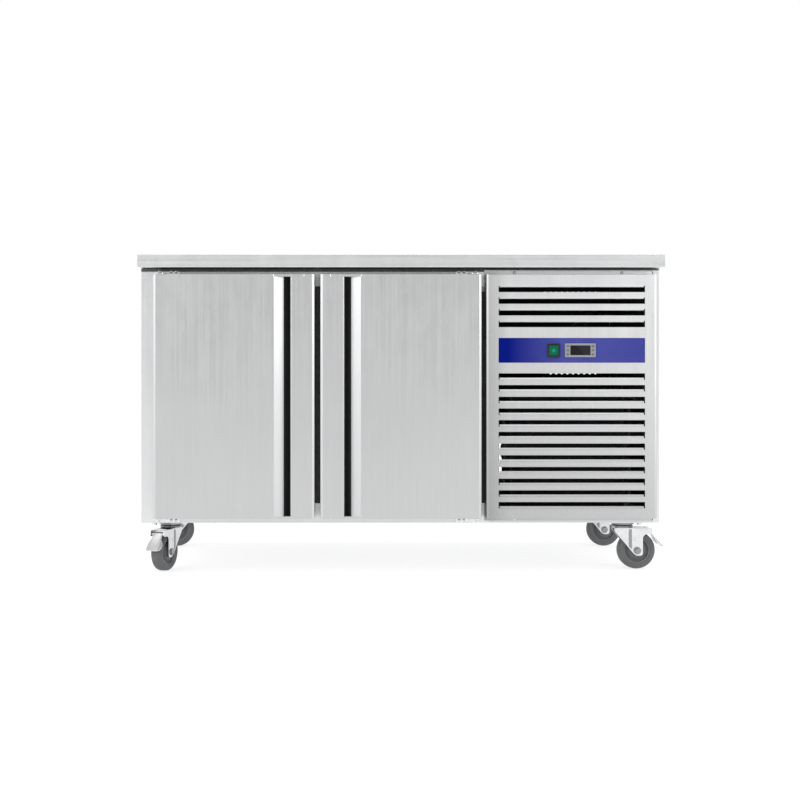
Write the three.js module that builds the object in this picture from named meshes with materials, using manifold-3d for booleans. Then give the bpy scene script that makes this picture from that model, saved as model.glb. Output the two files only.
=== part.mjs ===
// Two-door undercounter refrigerator on castors, with the refrigeration unit behind a louvred
// panel at the right. Millimetres, +Z up, front towards -Y, origin on the floor under the centre.
// Positions below are measured from the worktop's middle.
import * as THREE from 'three';
import { mergeVertices } from 'three/addons/utils/BufferGeometryUtils.js';
import Module from 'manifold-3d';

const wasm = await Module();
wasm.setup();

// ---------- driving dimensions ----------

const GAP = 0.3; // clearance between neighbours that touch
const SHEET = 1.5; // folded stainless sheet
const THROUGH = 5; // how far a cutter reaches past the face it opens
const BITE = 0.5; // how far joined shapes sink into each other

const WORKTOP = { width: 1360, depth: 700, thickness: 34, edgeRadius: 2.5 };
const OVERALL_HEIGHT = 830;
const CASTOR_HEIGHT = 130;

const BODY = {
  left: -679.5,
  right: 679.5,
  front: -285,
  back: 345,
  bottom: CASTOR_HEIGHT,
  top: OVERALL_HEIGHT - WORKTOP.thickness,
};
const WALL = 50; // insulated wall
const PARTITION = { left: 194, right: 234 }; // wall between cold chamber and machine bay
const BAY = { side: 3, sideReturn: 18, frameSheet: 2, railDepth: 20, railBottom: 752, trayHeight: 28 };
const ROUND_VENTS = { count: 10, first: 474, pitch: 17.2, levels: [764, 517], radius: 4 };
const SLOT_VENTS = { count: 14, first: 288, pitch: 24, bottom: 200, width: 8, height: 120 };
const OPENING = { bottom: 182, top: 749.5 }; // door opening, top to bottom
const MULLION = { centre: -218, width: 50, depth: 40, coverWidth: 56, coverThickness: 3 };

const DOOR = {
  width: 417,
  bottom: 147,
  top: 778.5,
  front: -342,
  skinDepth: 39,
  linerDepth: 5.7,
  leftEdge: -641, // outer edge of the left door
  rightEdge: 208, // outer edge of the right door
  outerRadius: 5.5,
  innerRadius: 6,
};
const GROOVE = {
  start: 312,
  wallFoot: 339,
  wallDepth: 22,
  wallBend: 0.4,
  floorStart: 351,
  floor: 37,
  gripEdge: 355,
  gripRadius: 3,
  gripBack: 8,
  pocketEnd: 386,
};
const GROOVE_CAP = 6; // closed length of the handle groove at each end of a door
const GASKET = { hingeInset: 20, inset: 12, band: 14 };
const SEAT = { thickness: 3, margin: 2 }; // sheet beside the opening that a gasket closes against
const LINER = { border: 3, embossDepth: 8, embossGap: 1.5 };
const HINGE = {
  pinInset: 16,
  pinDepth: 20,
  pinRadius: 4,
  pinLength: 15,
  pinPlay: 0.7,
  tongue: 3.2,
  tongueEnd: 34,
  plateWidth: 62,
  plateHeight: 13.5,
  plateThickness: 3,
  play: 1.3,
};

const PANEL = {
  left: 220,
  right: 660.5,
  bottom: 147,
  top: 778.5,
  flange: 11,
  screwOffset: 141,
  screwSlot: 6,
  foldRadius: 4,
};
const LOUVRE = { left: 251.5, right: 629.5, height: 16.6, pitch: 30.2, topOfUpper: 749, topOfLower: 522.5 };
const LIP = { depth: 4, thickness: 1.2, overlap: 1.5, upperRise: -4.5, lowerRise: 6 };
const UPPER_LOUVRES = 4;
const LOWER_LOUVRES = 12;
const STRIP = { bottom: 550, top: 614, thickness: 0.9 };
const ROCKER = {
  x: 393,
  z: 582,
  width: 32,
  height: 37,
  paddleWidth: 25,
  paddleHeight: 26,
  tilt: 9,
  bodyWidth: 26.8,
  bodyHeight: 32.4,
  bodyDepth: 26,
  pocketHeight: 29.2,
  frame: 0.8,
};
const CONTROLLER = {
  x: 462,
  z: 582,
  width: 80,
  height: 36,
  windowWidth: 71,
  windowHeight: 29,
  faceDepth: 3.2,
  bodyDepth: 50,
  screenWidth: 51,
  screenHeight: 25,
  screenRecess: 0.8,
};
const BUTTON = {
  width: 6.4,
  height: 5,
  column: 32.5,
  row: 10.5,
  play: 0.4,
  proud: 0.7,
  sunk: 1.5,
  room: 1.1,
};

const CASTOR = { left: -610, right: 597, frontY: -212, rearY: 240, trail: 36, radius: 50, treadWidth: 32 };
const WHEEL = { sides: 32, bore: 6.3, hub: 14, dish: 33, rim: 36 };
const PLATE = { length: 100, width: 84, thickness: 4, raceRadius: 31, raceDepth: 7.2 };
const FORK = {
  inner: 18.7,
  sheet: 2.5,
  crownTop: 110.5,
  raceTop: 118.2,
  raceRadius: 25,
  nose: 24,
  tail: 77,
};
const AXLE = { radius: 5, headRadius: 8, headDepth: 4 };
const PEDAL = {
  x: 68,
  z: 99,
  barrel: 4,
  slope: 42,
  length: 56,
  neck: 30,
  neckLength: 20,
  shoulder: 10,
  tip: 44,
  thickness: 2.5,
  lift: 3,
  reach: 109,
};
// The pedal at the right reaches past the worktop, and the origin is under the middle of the outline.
const CENTRE_SHIFT = -(CASTOR.right + PEDAL.reach - WORKTOP.width / 2) / 2;
const GLAND = { x: 620, z: 700, radius: 13, neck: 8, neckLength: 16, flange: 3.9, play: 0.8 };

const CONDENSER = { x: 440, z: 315, size: 300, front: -272, back: -212 };
const SHROUD = {
  depth: 36,
  bore: 123,
  barOffset: 28,
  bar: 10,
  barDepth: 5,
  barReach: 130,
  motorRadius: 36,
  motorLength: 52,
};
const COMPRESSOR = { x: 545, y: 120, footX: 90, footY: 60, footHeight: 24 };
const TRAY = { left: 256, right: 436, front: 40, back: 320, top: 170, wall: 3 };
const FAN = { x: 440, y: -194, z: 315, hub: 26, radius: 114, blades: 5, depth: 22 };
const BLADE = { thickness: 2.2, pitch: 22, chordShare: 0.5 };
const TOWER = { left: -262, right: -174, front: -200, back: 294, bottom: 182.3, top: 749.2 };
const COLD_FAN = { x: -247, y: 60, z: 610, hub: 19, radius: 70, opening: 78, blades: 5, depth: 18 };
const COLD_MOTOR = { radius: 24, length: 32, gap: 13, foot: 60 };
const COIL = { front: -60, back: 250, bottom: 200, top: 500, sideGap: 4 };
const OUTLET = { count: 8, lowest: 230, pitch: 30, height: 12, front: 0, back: 220 };
const SHELF = { width: 325, depth: 530, front: -246, level: 462, wire: 5, lengthWires: 11, crossWires: 3 };
const RUNNER = { sheet: 2, ledge: 34, wallHeight: 24, barHeight: 12, barDepth: 5, back: 293 };

// ---------- materials ----------

const finish = (color, metalness, roughness) =>
  new THREE.MeshStandardMaterial({ color, metalness, roughness });
const stainless = finish(0xc6c8ca, 0.9, 0.32);
const innerSteel = finish(0xb9bcbf, 0.8, 0.42);
const zinc = finish(0xc9ccd0, 0.85, 0.35);
const blackPlastic = finish(0x17181b, 0.0, 0.5);
const greyPlastic = finish(0x8e9296, 0.0, 0.5);
const bluePlastic = finish(0x1a2b96, 0.0, 0.3);
const greenLens = finish(0x18c05a, 0.0, 0.2);
const gasketRubber = finish(0x55585c, 0.0, 0.8);
const wheelRubber = finish(0x55575a, 0.0, 0.75);
const aluminium = finish(0xb8bcc0, 0.8, 0.4);
const blackPaint = finish(0x141516, 0.3, 0.45);
const wireCoat = finish(0xd4d6d8, 0.6, 0.35);

// ---------- solid helpers ----------

/** Turns a closed geometry into a manifold solid. */
function solid(geometry) {
  const bare = geometry.clone();
  bare.deleteAttribute('normal');
  bare.deleteAttribute('uv');
  const merged = mergeVertices(bare, 1e-4);
  return new wasm.Manifold(
    new wasm.Mesh({
      numProp: 3,
      vertProperties: new Float32Array(merged.attributes.position.array),
      triVerts: new Uint32Array(merged.index.array),
    }),
  );
}

/** Turns a manifold solid back into a geometry. */
function geometryOf(body) {
  const mesh = body.getMesh();
  const geometry = new THREE.BufferGeometry();
  geometry.setAttribute('position', new THREE.BufferAttribute(mesh.vertProperties, 3));
  geometry.setIndex(new THREE.BufferAttribute(mesh.triVerts, 1));
  return geometry;
}

/** First geometry joined with the others. */
function join(first, ...others) {
  return geometryOf(others.reduce((body, other) => body.add(solid(other)), solid(first)));
}

/** First geometry with the others cut away. */
function cut(first, ...tools) {
  return geometryOf(tools.reduce((body, tool) => body.subtract(solid(tool)), solid(first)));
}

/** Box between two corners. */
function block(x0, x1, y0, y1, z0, z1) {
  const geometry = new THREE.BoxGeometry(x1 - x0, y1 - y0, z1 - z0);
  return geometry.translate((x0 + x1) / 2, (y0 + y1) / 2, (z0 + z1) / 2);
}

/** Cylinder along an axis, from a point, over a length. */
function rod(axis, radius, length, x, y, z, sides = 16) {
  const geometry = new THREE.CylinderGeometry(radius, radius, length, sides);
  geometry.translate(0, length / 2, 0);
  if (axis === 'x') geometry.rotateZ(-Math.PI / 2);
  if (axis === 'z') geometry.rotateX(Math.PI / 2);
  return geometry.translate(x, y, z);
}

/** Closed outline of [u, v] points as a shape. */
function outline(points) {
  return new THREE.Shape(points.map(([u, v]) => new THREE.Vector2(u, v)));
}

/** Shape given a depth, with its curves in so many segments. */
function extruded(shape, depth, curveSegments) {
  return new THREE.ExtrudeGeometry(shape, { depth, bevelEnabled: false, curveSegments });
}

/** Shape drawn in X and Z, given a thickness along Y from y0 to y1. */
function slabXZ(shape, y0, y1) {
  const geometry = extruded(shape, y1 - y0, 6);
  return geometry.rotateX(Math.PI / 2).translate(0, y1, 0);
}

/** Shape drawn in Y and Z, given a length along X from x0 to x1. */
function slabYZ(shape, x0, x1) {
  const geometry = extruded(shape, x1 - x0, 3);
  return geometry.rotateY(Math.PI / 2).rotateX(Math.PI / 2).translate(x0, 0, 0);
}

/** Shape drawn in X and Y, given a height from z0 to z1. */
function slabXY(shape, z0, z1) {
  const geometry = extruded(shape, z1 - z0, 5);
  return geometry.translate(0, 0, z0);
}

const fridge = new THREE.Group();

/** Adds a named piece to a group. */
function piece(name, geometry, material, group = fridge) {
  const mesh = new THREE.Mesh(geometry, material);
  mesh.name = name;
  group.add(mesh);
  return mesh;
}

// ---------- cabinet ----------

/** Worktop with rolled front and rear edges. */
function worktop() {
  const { depth, thickness, edgeRadius: r, width } = WORKTOP;
  const shape = new THREE.Shape();
  shape.moveTo(-depth / 2 + r, 0);
  shape.lineTo(depth / 2 - r, 0);
  shape.absarc(depth / 2 - r, r, r, -Math.PI / 2, 0);
  shape.lineTo(depth / 2, thickness - r);
  shape.absarc(depth / 2 - r, thickness - r, r, 0, Math.PI / 2);
  shape.lineTo(-depth / 2 + r, thickness);
  shape.absarc(-depth / 2 + r, thickness - r, r, Math.PI / 2, Math.PI);
  shape.lineTo(-depth / 2, r);
  shape.absarc(-depth / 2 + r, r, r, Math.PI, 1.5 * Math.PI);
  return slabYZ(shape, -width / 2, width / 2).translate(0, 0, OVERALL_HEIGHT - thickness);
}

/** Insulated walls of the cold chamber, the mullion and its black cover. */
function coldChamber() {
  const top = BODY.top - GAP;
  const innerLeft = BODY.left + WALL + GAP;
  const innerRight = PARTITION.left - GAP;
  const innerBack = BODY.back - WALL;
  const { left, front, back, bottom } = BODY;
  const hingeBand = GASKET.hingeInset + GASKET.band + SEAT.margin;
  const seat = (x0, x1) =>
    block(x0, x1, front, front + SEAT.thickness, OPENING.bottom + GAP, OPENING.top - GAP);
  const sideWall = join(
    block(left, left + WALL, front, back, bottom, top),
    seat(left + WALL - BITE, DOOR.leftEdge + hingeBand),
  );
  piece('side_wall_left', sideWall, stainless);
  piece('back_wall', block(innerLeft, innerRight, innerBack, back, bottom, top), stainless);
  const across = [innerLeft, innerRight, front, innerBack - GAP];
  piece('floor_wall', block(...across, bottom, OPENING.bottom), stainless);
  piece('ceiling_wall', block(...across, OPENING.top, top), stainless);
  const partition = join(
    block(PARTITION.left, PARTITION.right, front, back, bottom, top),
    seat(DOOR.rightEdge - hingeBand, PARTITION.left + BITE),
  );
  piece('partition_wall', partition, stainless);
  const mullionFront = BODY.front + MULLION.coverThickness + GAP;
  const mullion = block(
    MULLION.centre - MULLION.width / 2,
    MULLION.centre + MULLION.width / 2,
    mullionFront,
    mullionFront + MULLION.depth,
    OPENING.bottom + GAP,
    OPENING.top - GAP,
  );
  piece('center_mullion', mullion, innerSteel);
  const cover = block(
    MULLION.centre - MULLION.coverWidth / 2,
    MULLION.centre + MULLION.coverWidth / 2,
    BODY.front,
    BODY.front + MULLION.coverThickness,
    OPENING.bottom + GAP,
    OPENING.top - GAP,
  );
  piece('mullion_cover', cover, blackPlastic);
}

/** Sheet-metal frame of the machine bay: side, header rail, base tray and perforated rear panel. */
function machineBay() {
  const { frameSheet, railDepth, railBottom, trayHeight } = BAY;
  const left = PARTITION.right + GAP;
  const sideInner = BODY.right - BAY.side;
  const right = sideInner - GAP;
  const top = BODY.top - GAP;
  const returnRight = BODY.right - 1;
  const side = join(
    block(sideInner, BODY.right, BODY.front, BODY.back, BODY.bottom, top),
    block(returnRight - BAY.sideReturn, returnRight, BODY.front, BODY.front + frameSheet, BODY.bottom, top),
  );
  piece('side_panel_right', side, stainless);
  const front = BODY.front + frameSheet + GAP;
  piece('header_rail', block(left, right, front, front + railDepth, railBottom, top), stainless);

  const trayTop = BODY.bottom + trayHeight;
  const tray = cut(
    block(left, right, front, BODY.back, BODY.bottom, trayTop),
    block(
      left + frameSheet,
      right - frameSheet,
      front + frameSheet,
      BODY.back - frameSheet,
      BODY.bottom + frameSheet,
      trayTop + THROUGH,
    ),
  );
  piece('base_tray', tray, innerSteel);
  rearPanel(left, right, trayTop + GAP, top);
}

/** Rear panel of the machine bay: two rows of round vents, a row of slots and the cable gland. */
function rearPanel(left, right, bottom, top) {
  const panel = block(left, right, BODY.back - SHEET, BODY.back, bottom, top);
  const behind = BODY.back + THROUGH;
  const before = BODY.back - THROUGH;
  const vents = [];
  for (const level of ROUND_VENTS.levels) {
    for (let i = 0; i < ROUND_VENTS.count; i += 1) {
      const x = ROUND_VENTS.first + i * ROUND_VENTS.pitch;
      vents.push(rod('y', ROUND_VENTS.radius, 2 * THROUGH, x, before, level, 10));
    }
  }
  const half = SLOT_VENTS.width / 2;
  const slotTop = SLOT_VENTS.bottom + SLOT_VENTS.height;
  for (let i = 0; i < SLOT_VENTS.count; i += 1) {
    const x = SLOT_VENTS.first + i * SLOT_VENTS.pitch;
    vents.push(block(x - half, x + half, before, behind, SLOT_VENTS.bottom, slotTop));
  }
  const glandHole = rod('y', GLAND.neck + GLAND.play, 2 * THROUGH, GLAND.x, before, GLAND.z);
  piece('rear_service_panel', cut(panel, ...vents, glandHole), stainless);
  const face = BODY.back + GAP;
  const gland = join(
    rod('y', GLAND.radius, GLAND.flange, GLAND.x, face, GLAND.z),
    rod('y', GLAND.neck, GLAND.neckLength, GLAND.x, face + GLAND.flange - GLAND.neckLength, GLAND.z),
  );
  piece('cable_gland', gland, blackPlastic);
}

/** One bent louvre lip: a thin blade from the slot's edge inwards. */
function louvreLip(edgeZ, rise) {
  const { depth, thickness, overlap } = LIP;
  const front = DOOR.front + GAP / 2;
  const back = DOOR.front + depth;
  const way = Math.sign(rise);
  const blade = outline([
    [front, edgeZ - way],
    [front, edgeZ + way * BITE],
    [back, edgeZ + rise],
    [back + thickness, edgeZ + rise - way * thickness],
    [front + SHEET, edgeZ - way],
  ]);
  return slabYZ(blade, LOUVRE.left + overlap, LOUVRE.right - overlap);
}

/** Section of a box, seen from above, with its two front corners rounded. */
function foldedFront(left, right, front, back, radius) {
  const shape = new THREE.Shape();
  shape.moveTo(left, back);
  shape.lineTo(left, front + radius);
  shape.absarc(left + radius, front + radius, radius, Math.PI, 1.5 * Math.PI);
  shape.lineTo(right - radius, front);
  shape.absarc(right - radius, front + radius, radius, -Math.PI / 2, 0);
  shape.lineTo(right, back);
  return shape;
}

/** Box-shaped front panel of the machine bay, with two groups of louvres and screw flanges. */
function louvredPanel() {
  const { left, right, bottom, top, flange, screwOffset, screwSlot, foldRadius } = PANEL;
  const front = DOOR.front;
  const back = BODY.front - GAP;
  const shell = cut(
    slabXY(foldedFront(left, right, front, back, foldRadius), bottom, top),
    block(left + SHEET, right - SHEET, front + SHEET, back + THROUGH, bottom + SHEET, top - SHEET),
  );
  const flanges = [
    block(left, right, back - SHEET, back, top - SHEET, top + flange),
    block(left, right, back - SHEET, back, bottom - flange, bottom + SHEET),
  ];
  const centre = (left + right) / 2;
  const openings = [];
  for (const side of [-1, 1]) {
    const x = centre + side * screwOffset;
    for (const edge of [top + flange, bottom - flange]) {
      const slot = [x - screwSlot / 2, x + screwSlot / 2, back - THROUGH, back + THROUGH];
      openings.push(block(...slot, edge - screwSlot, edge + screwSlot));
    }
  }
  const lips = [];
  for (let i = 0; i < UPPER_LOUVRES; i += 1) {
    const z = LOUVRE.topOfUpper - i * LOUVRE.pitch;
    openings.push(louvreSlot(z));
    lips.push(louvreLip(z, LIP.upperRise));
  }
  for (let i = 0; i < LOWER_LOUVRES; i += 1) {
    const z = LOUVRE.topOfLower - i * LOUVRE.pitch;
    openings.push(louvreSlot(z));
    lips.push(louvreLip(z - LOUVRE.height, LIP.lowerRise));
  }
  openings.push(...controlWindows());
  return join(cut(join(shell, ...flanges), ...openings), ...lips);
}

/** Cutter for the slot under or over one louvre, from its top edge. */
function louvreSlot(top) {
  const front = DOOR.front;
  return block(LOUVRE.left, LOUVRE.right, front - THROUGH, front + THROUGH, top - LOUVRE.height, top);
}

/** Cutter for a rectangular window through the panel's front and the strip. */
function windowFor(x, z, width, height) {
  const front = DOOR.front - THROUGH;
  const back = DOOR.front + THROUGH;
  return block(x - width / 2, x + width / 2, front, back, z - height / 2, z + height / 2);
}

/** Cutters for the windows of the rocker switch and the controller. */
function controlWindows() {
  return [
    windowFor(ROCKER.x, ROCKER.z, ROCKER.bodyWidth + 2 * GAP, ROCKER.bodyHeight + 2 * GAP),
    windowFor(CONTROLLER.x, CONTROLLER.z, CONTROLLER.windowWidth, CONTROLLER.windowHeight),
  ];
}

/** Blue control strip with its windows; the control parts sit on its face. */
function controls() {
  const stripBack = DOOR.front - GAP;
  const stripFront = stripBack - STRIP.thickness;
  const sheet = block(LOUVRE.left, LOUVRE.right, stripFront, stripBack, STRIP.bottom, STRIP.top);
  piece('control_strip', cut(sheet, ...controlWindows()), bluePlastic);
  digitalController(stripFront - GAP);
  rockerSwitch(stripFront - GAP);
}

/** Digital controller: housing with a recessed screen and six keys in pockets. */
function digitalController(back) {
  const { x, z, width, height, windowWidth, windowHeight, faceDepth, bodyDepth } = CONTROLLER;
  const front = back - faceDepth;
  const bodyX = windowWidth / 2 - BITE;
  const bodyZ = windowHeight / 2 - BITE;
  const housing = join(
    block(x - width / 2, x + width / 2, front, back, z - height / 2, z + height / 2),
    block(x - bodyX, x + bodyX, back - BITE, back + bodyDepth, z - bodyZ, z + bodyZ),
  );
  const pockets = [];
  const buttons = [];
  const { play, proud, sunk, room } = BUTTON;
  const w = BUTTON.width / 2;
  const h = BUTTON.height / 2;
  for (const column of [-1, 1]) {
    for (const row of [1, 0, -1]) {
      const cx = x + column * BUTTON.column;
      const cz = z + row * BUTTON.row;
      const pocket = [cx - w - play, cx + w + play, front - THROUGH, front + sunk + room];
      pockets.push(block(...pocket, cz - h - play, cz + h + play));
      buttons.push(block(cx - w, cx + w, front - proud, front + sunk, cz - h, cz + h));
    }
  }
  const { screenWidth, screenHeight, screenRecess } = CONTROLLER;
  const screen = block(
    x - screenWidth / 2,
    x + screenWidth / 2,
    front - THROUGH,
    front + screenRecess,
    z - screenHeight / 2,
    z + screenHeight / 2,
  );
  piece('controller', cut(housing, ...pockets, screen), greyPlastic);
  buttons.forEach((button, i) => piece(`button_${i + 1}`, button, greyPlastic));
}

/** Rocker switch: a black frame with its body, and the lit paddle. */
function rockerSwitch(back) {
  const { x, z, width, height, bodyWidth, bodyHeight, bodyDepth, paddleWidth, paddleHeight } = ROCKER;
  const front = back - CONTROLLER.faceDepth - ROCKER.frame;
  const paddleRoom = paddleWidth / 2 + 0.8;
  const pocketHalf = ROCKER.pocketHeight / 2;
  const pocketBack = back + 8;
  const bodyX = bodyWidth / 2;
  const bodyZ = bodyHeight / 2;
  const frame = block(x - width / 2, x + width / 2, front, back, z - height / 2, z + height / 2);
  const body = block(x - bodyX, x + bodyX, back - BITE, back + bodyDepth, z - bodyZ, z + bodyZ);
  const pocket = block(
    x - paddleRoom,
    x + paddleRoom,
    front - THROUGH,
    pocketBack,
    z - pocketHalf,
    z + pocketHalf,
  );
  piece('rocker_bezel', cut(join(frame, body), pocket), blackPlastic);

  const half = paddleHeight / 2;
  const paddle = outline([
    [-4.4, half],
    [-3.4, 0],
    [-4.4, -half],
    [1.5, -half],
    [5.5, 0],
    [1.5, half],
  ]);
  const rocker = slabYZ(paddle, -paddleWidth / 2, paddleWidth / 2);
  rocker.rotateX(THREE.MathUtils.degToRad(ROCKER.tilt)).translate(x, back, z);
  piece('rocker_switch', rocker, greenLens);
}

// ---------- doors ----------

/** Door section seen from above: u runs from the hinge edge, v from the front face backwards. */
function doorSection() {
  const { width, skinDepth, outerRadius, innerRadius } = DOOR;
  const { start, wallFoot, wallDepth, wallBend, floorStart, floor } = GROOVE;
  const { gripEdge, gripRadius, gripBack, pocketEnd } = GROOVE;
  const shape = new THREE.Shape();
  shape.moveTo(0, skinDepth);
  shape.lineTo(0, outerRadius);
  shape.absarc(outerRadius, outerRadius, outerRadius, Math.PI, 1.5 * Math.PI);
  shape.lineTo(start, 0);
  shape.quadraticCurveTo((start + wallFoot) / 2, wallBend * wallDepth, wallFoot, wallDepth);
  shape.lineTo(floorStart, floor);
  shape.lineTo(pocketEnd, floor);
  shape.lineTo(pocketEnd, gripBack);
  shape.lineTo(gripEdge + gripRadius, gripBack);
  shape.lineTo(gripEdge, gripBack - gripRadius);
  shape.lineTo(gripEdge, gripRadius);
  shape.absarc(gripEdge + gripRadius, gripRadius, gripRadius, Math.PI, 1.5 * Math.PI);
  shape.lineTo(width - innerRadius, 0);
  shape.absarc(width - innerRadius, innerRadius, innerRadius, -Math.PI / 2, 0);
  shape.lineTo(width, skinDepth);
  return shape;
}

/** Flips a geometry left to right and keeps its faces pointing out. */
function mirrorX(geometry) {
  const flipped = geometry.clone().scale(-1, 1, 1).toNonIndexed();
  const position = flipped.attributes.position;
  const a = new THREE.Vector3();
  const b = new THREE.Vector3();
  for (let i = 0; i < position.count; i += 3) {
    a.fromBufferAttribute(position, i + 1);
    b.fromBufferAttribute(position, i + 2);
    position.setXYZ(i + 1, b.x, b.y, b.z);
    position.setXYZ(i + 2, a.x, a.y, a.z);
  }
  return flipped;
}

/** Skin, inner liner and gasket of one door; side is 1 where the hinge edge is at the left. */
function door(name, hingeEdge, side) {
  const { width, bottom, top, front, skinDepth, linerDepth } = DOOR;
  const place = (geometry) => (side > 0 ? geometry : mirrorX(geometry)).translate(hingeEdge, front, 0);

  const cap = (z0) => block(GROOVE.start - 4, GROOVE.pocketEnd + 4, 1, skinDepth, z0, z0 + GROOVE_CAP);
  const boreDepth = HINGE.pinLength + THROUGH;
  const boreRadius = HINGE.pinRadius + HINGE.pinPlay;
  const bore = (z0) => rod('z', boreRadius, boreDepth, HINGE.pinInset, HINGE.pinDepth, z0);
  const skin = cut(
    join(slabXY(doorSection(), bottom, top), cap(bottom), cap(top - GROOVE_CAP)),
    bore(bottom - THROUGH / 2),
    bore(top + THROUGH / 2 - boreDepth),
  );
  piece(`${name}_skin`, place(skin), stainless);

  const linerFront = skinDepth + GAP;
  const linerBack = skinDepth + linerDepth;
  const { border, embossDepth, embossGap } = LINER;
  const inner = GASKET.inset + GASKET.band + embossGap;
  const innerHinge = GASKET.hingeInset + GASKET.band + embossGap;
  const embossBack = linerBack + embossDepth;
  const liner = join(
    block(border, width - border, linerFront, linerBack, bottom + border, top - border),
    block(innerHinge, width - inner, linerBack - BITE, embossBack, bottom + inner, top - inner),
  );
  piece(`${name}_liner`, place(liner), innerSteel);

  const gasketFront = linerBack + GAP;
  const gasketBack = BODY.front - GAP - front;
  const gasket = cut(
    block(
      GASKET.hingeInset,
      width - GASKET.inset,
      gasketFront,
      gasketBack,
      bottom + GASKET.inset,
      top - GASKET.inset,
    ),
    block(
      GASKET.hingeInset + GASKET.band,
      width - GASKET.inset - GASKET.band,
      gasketFront - THROUGH,
      gasketBack + THROUGH,
      bottom + GASKET.inset + GASKET.band,
      top - GASKET.inset - GASKET.band,
    ),
  );
  piece(`${name}_gasket`, place(gasket), gasketRubber);

  const suffix = name.replace('door_', '');
  piece(`hinge_top_${suffix}`, place(hingeBracket(top + HINGE.play, 1)), zinc);
  piece(`hinge_bottom_${suffix}`, place(hingeBracket(bottom - HINGE.play, -1)), zinc);
}

/** Hinge bracket in door coordinates: a screwed plate, a tongue over the door's edge and the pin. */
function hingeBracket(base, up) {
  const { pinInset, pinDepth, pinRadius, pinLength, tongue, tongueEnd } = HINGE;
  const { plateWidth, plateHeight, plateThickness } = HINGE;
  const plateBack = BODY.front - GAP - DOOR.front;
  const low = Math.min(base, base + up * tongue);
  const arm = block(2, tongueEnd, pinDepth - 10, plateBack, low, low + tongue);
  const plateLow = Math.min(base, base + up * plateHeight);
  const plateFront = plateBack - plateThickness;
  const plate = block(1, 1 + plateWidth, plateFront, plateBack, plateLow, plateLow + plateHeight);
  const pinLow = up > 0 ? base - pinLength : base - BITE;
  return join(arm, plate, rod('z', pinRadius, pinLength + BITE, pinInset, pinDepth, pinLow));
}

// ---------- castors ----------

/** Tyre and hub turned about Y, standing on a flat facet at z = 0. */
function wheel() {
  const { sides, bore, hub, dish, rim } = WHEEL;
  const half = CASTOR.treadWidth / 2;
  const hubHalf = half + 1.5;
  const webHalf = half - 3;
  const r = CASTOR.radius / Math.cos(Math.PI / sides);
  const halfProfile = [
    [bore, hubHalf],
    [hub, hubHalf],
    [hub + 2, webHalf],
    [dish, webHalf],
    [rim, half],
    [r - 6, half],
    [r - 1, half - 5],
    [r, 6],
  ];
  const mirrored = halfProfile.map(([radius, y]) => [radius, -y]);
  const closed = [...mirrored, ...halfProfile.reverse(), mirrored[0]];
  const points = closed.map(([radius, y]) => new THREE.Vector2(radius, y));
  const geometry = new THREE.LatheGeometry(points, sides);
  return geometry.rotateY(Math.PI / sides).translate(CASTOR.trail, 0, CASTOR.radius);
}

/** Swivel fork: raceway, crown, two legs and the axle bolt. */
function fork() {
  const { inner, sheet, crownTop, raceTop, raceRadius, nose, tail } = FORK;
  const x = CASTOR.trail;
  const z = CASTOR.radius;
  const outer = inner + sheet;
  const leg = outline([
    [-nose, crownTop - 1],
    [-nose, crownTop - 7],
    [x - 9, z - 8],
    [x - 2, z - 14],
    [x + 17, z - 14],
    [x + 17, crownTop - 24],
    [x + 23, crownTop - 17],
    [tail, crownTop - 17],
    [tail, crownTop - 1],
  ]);
  const headLength = AXLE.headDepth + BITE;
  return join(
    block(-nose, x + 20, -outer, outer, crownTop - sheet, crownTop),
    slabXZ(leg, -outer, -inner),
    slabXZ(leg, inner, outer),
    rod('z', raceRadius, raceTop - crownTop + BITE, 0, 0, crownTop - BITE, 20),
    rod('y', AXLE.radius, 2 * (outer + AXLE.headDepth), x, -outer - AXLE.headDepth, z, 12),
    rod('y', AXLE.headRadius, headLength, x, -outer - AXLE.headDepth, z, 6),
    rod('y', AXLE.headRadius, headLength, x, outer - BITE, z, 6),
  );
}

/** Mounting plate with the upper half of the swivel raceway. */
function castorPlate() {
  const { length, width, thickness, raceRadius, raceDepth } = PLATE;
  const top = CASTOR_HEIGHT - GAP;
  const under = top - thickness;
  return join(
    block(-length / 2, length / 2, -width / 2, width / 2, under, top),
    rod('z', raceRadius, raceDepth + 0.8, 0, 0, under - raceDepth, 20),
  );
}

/** Foot pedal of a brake: a pivot barrel and a tread plate with a narrower neck. */
function brakePedal() {
  const { x, z, barrel, slope, length, neck, neckLength, shoulder, tip, thickness, lift, reach } = PEDAL;
  const tread = outline([
    [-neck / 2, 0],
    [neck / 2, 0],
    [neck / 2, -neckLength],
    [tip / 2, -neckLength - shoulder],
    [tip / 2, -length],
    [-tip / 2, -length],
    [-tip / 2, -neckLength - shoulder],
    [-neck / 2, -neckLength],
  ]);
  const angle = THREE.MathUtils.degToRad(slope);
  const start = reach - length * Math.sin(angle) - (thickness / 2) * Math.cos(angle);
  const plate = slabXZ(tread, -thickness / 2, thickness / 2);
  plate.rotateZ(-Math.PI / 2).rotateY(-angle).translate(start, 0, z + lift);
  const half = FORK.inner - BITE;
  return join(rod('y', barrel, 2 * half, x, -half, z, 10), plate);
}

/** One castor: fixed plate, swivelling fork and wheel, and a pedal on the braked ones. */
function castor(name, x, y, heading, braked) {
  const fixed = new THREE.Group();
  fixed.position.set(x, y, 0);
  fridge.add(fixed);
  piece(`castor_plate_${name}`, castorPlate(), zinc, fixed);
  const swivel = new THREE.Group();
  swivel.position.set(x, y, 0);
  swivel.rotation.z = THREE.MathUtils.degToRad(heading);
  fridge.add(swivel);
  piece(`castor_fork_${name}`, fork(), zinc, swivel);
  piece(`castor_wheel_${name}`, wheel(), wheelRubber, swivel);
  if (braked) piece(`brake_pedal_${name}`, brakePedal(), zinc, swivel);
}

// ---------- inside ----------

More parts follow.
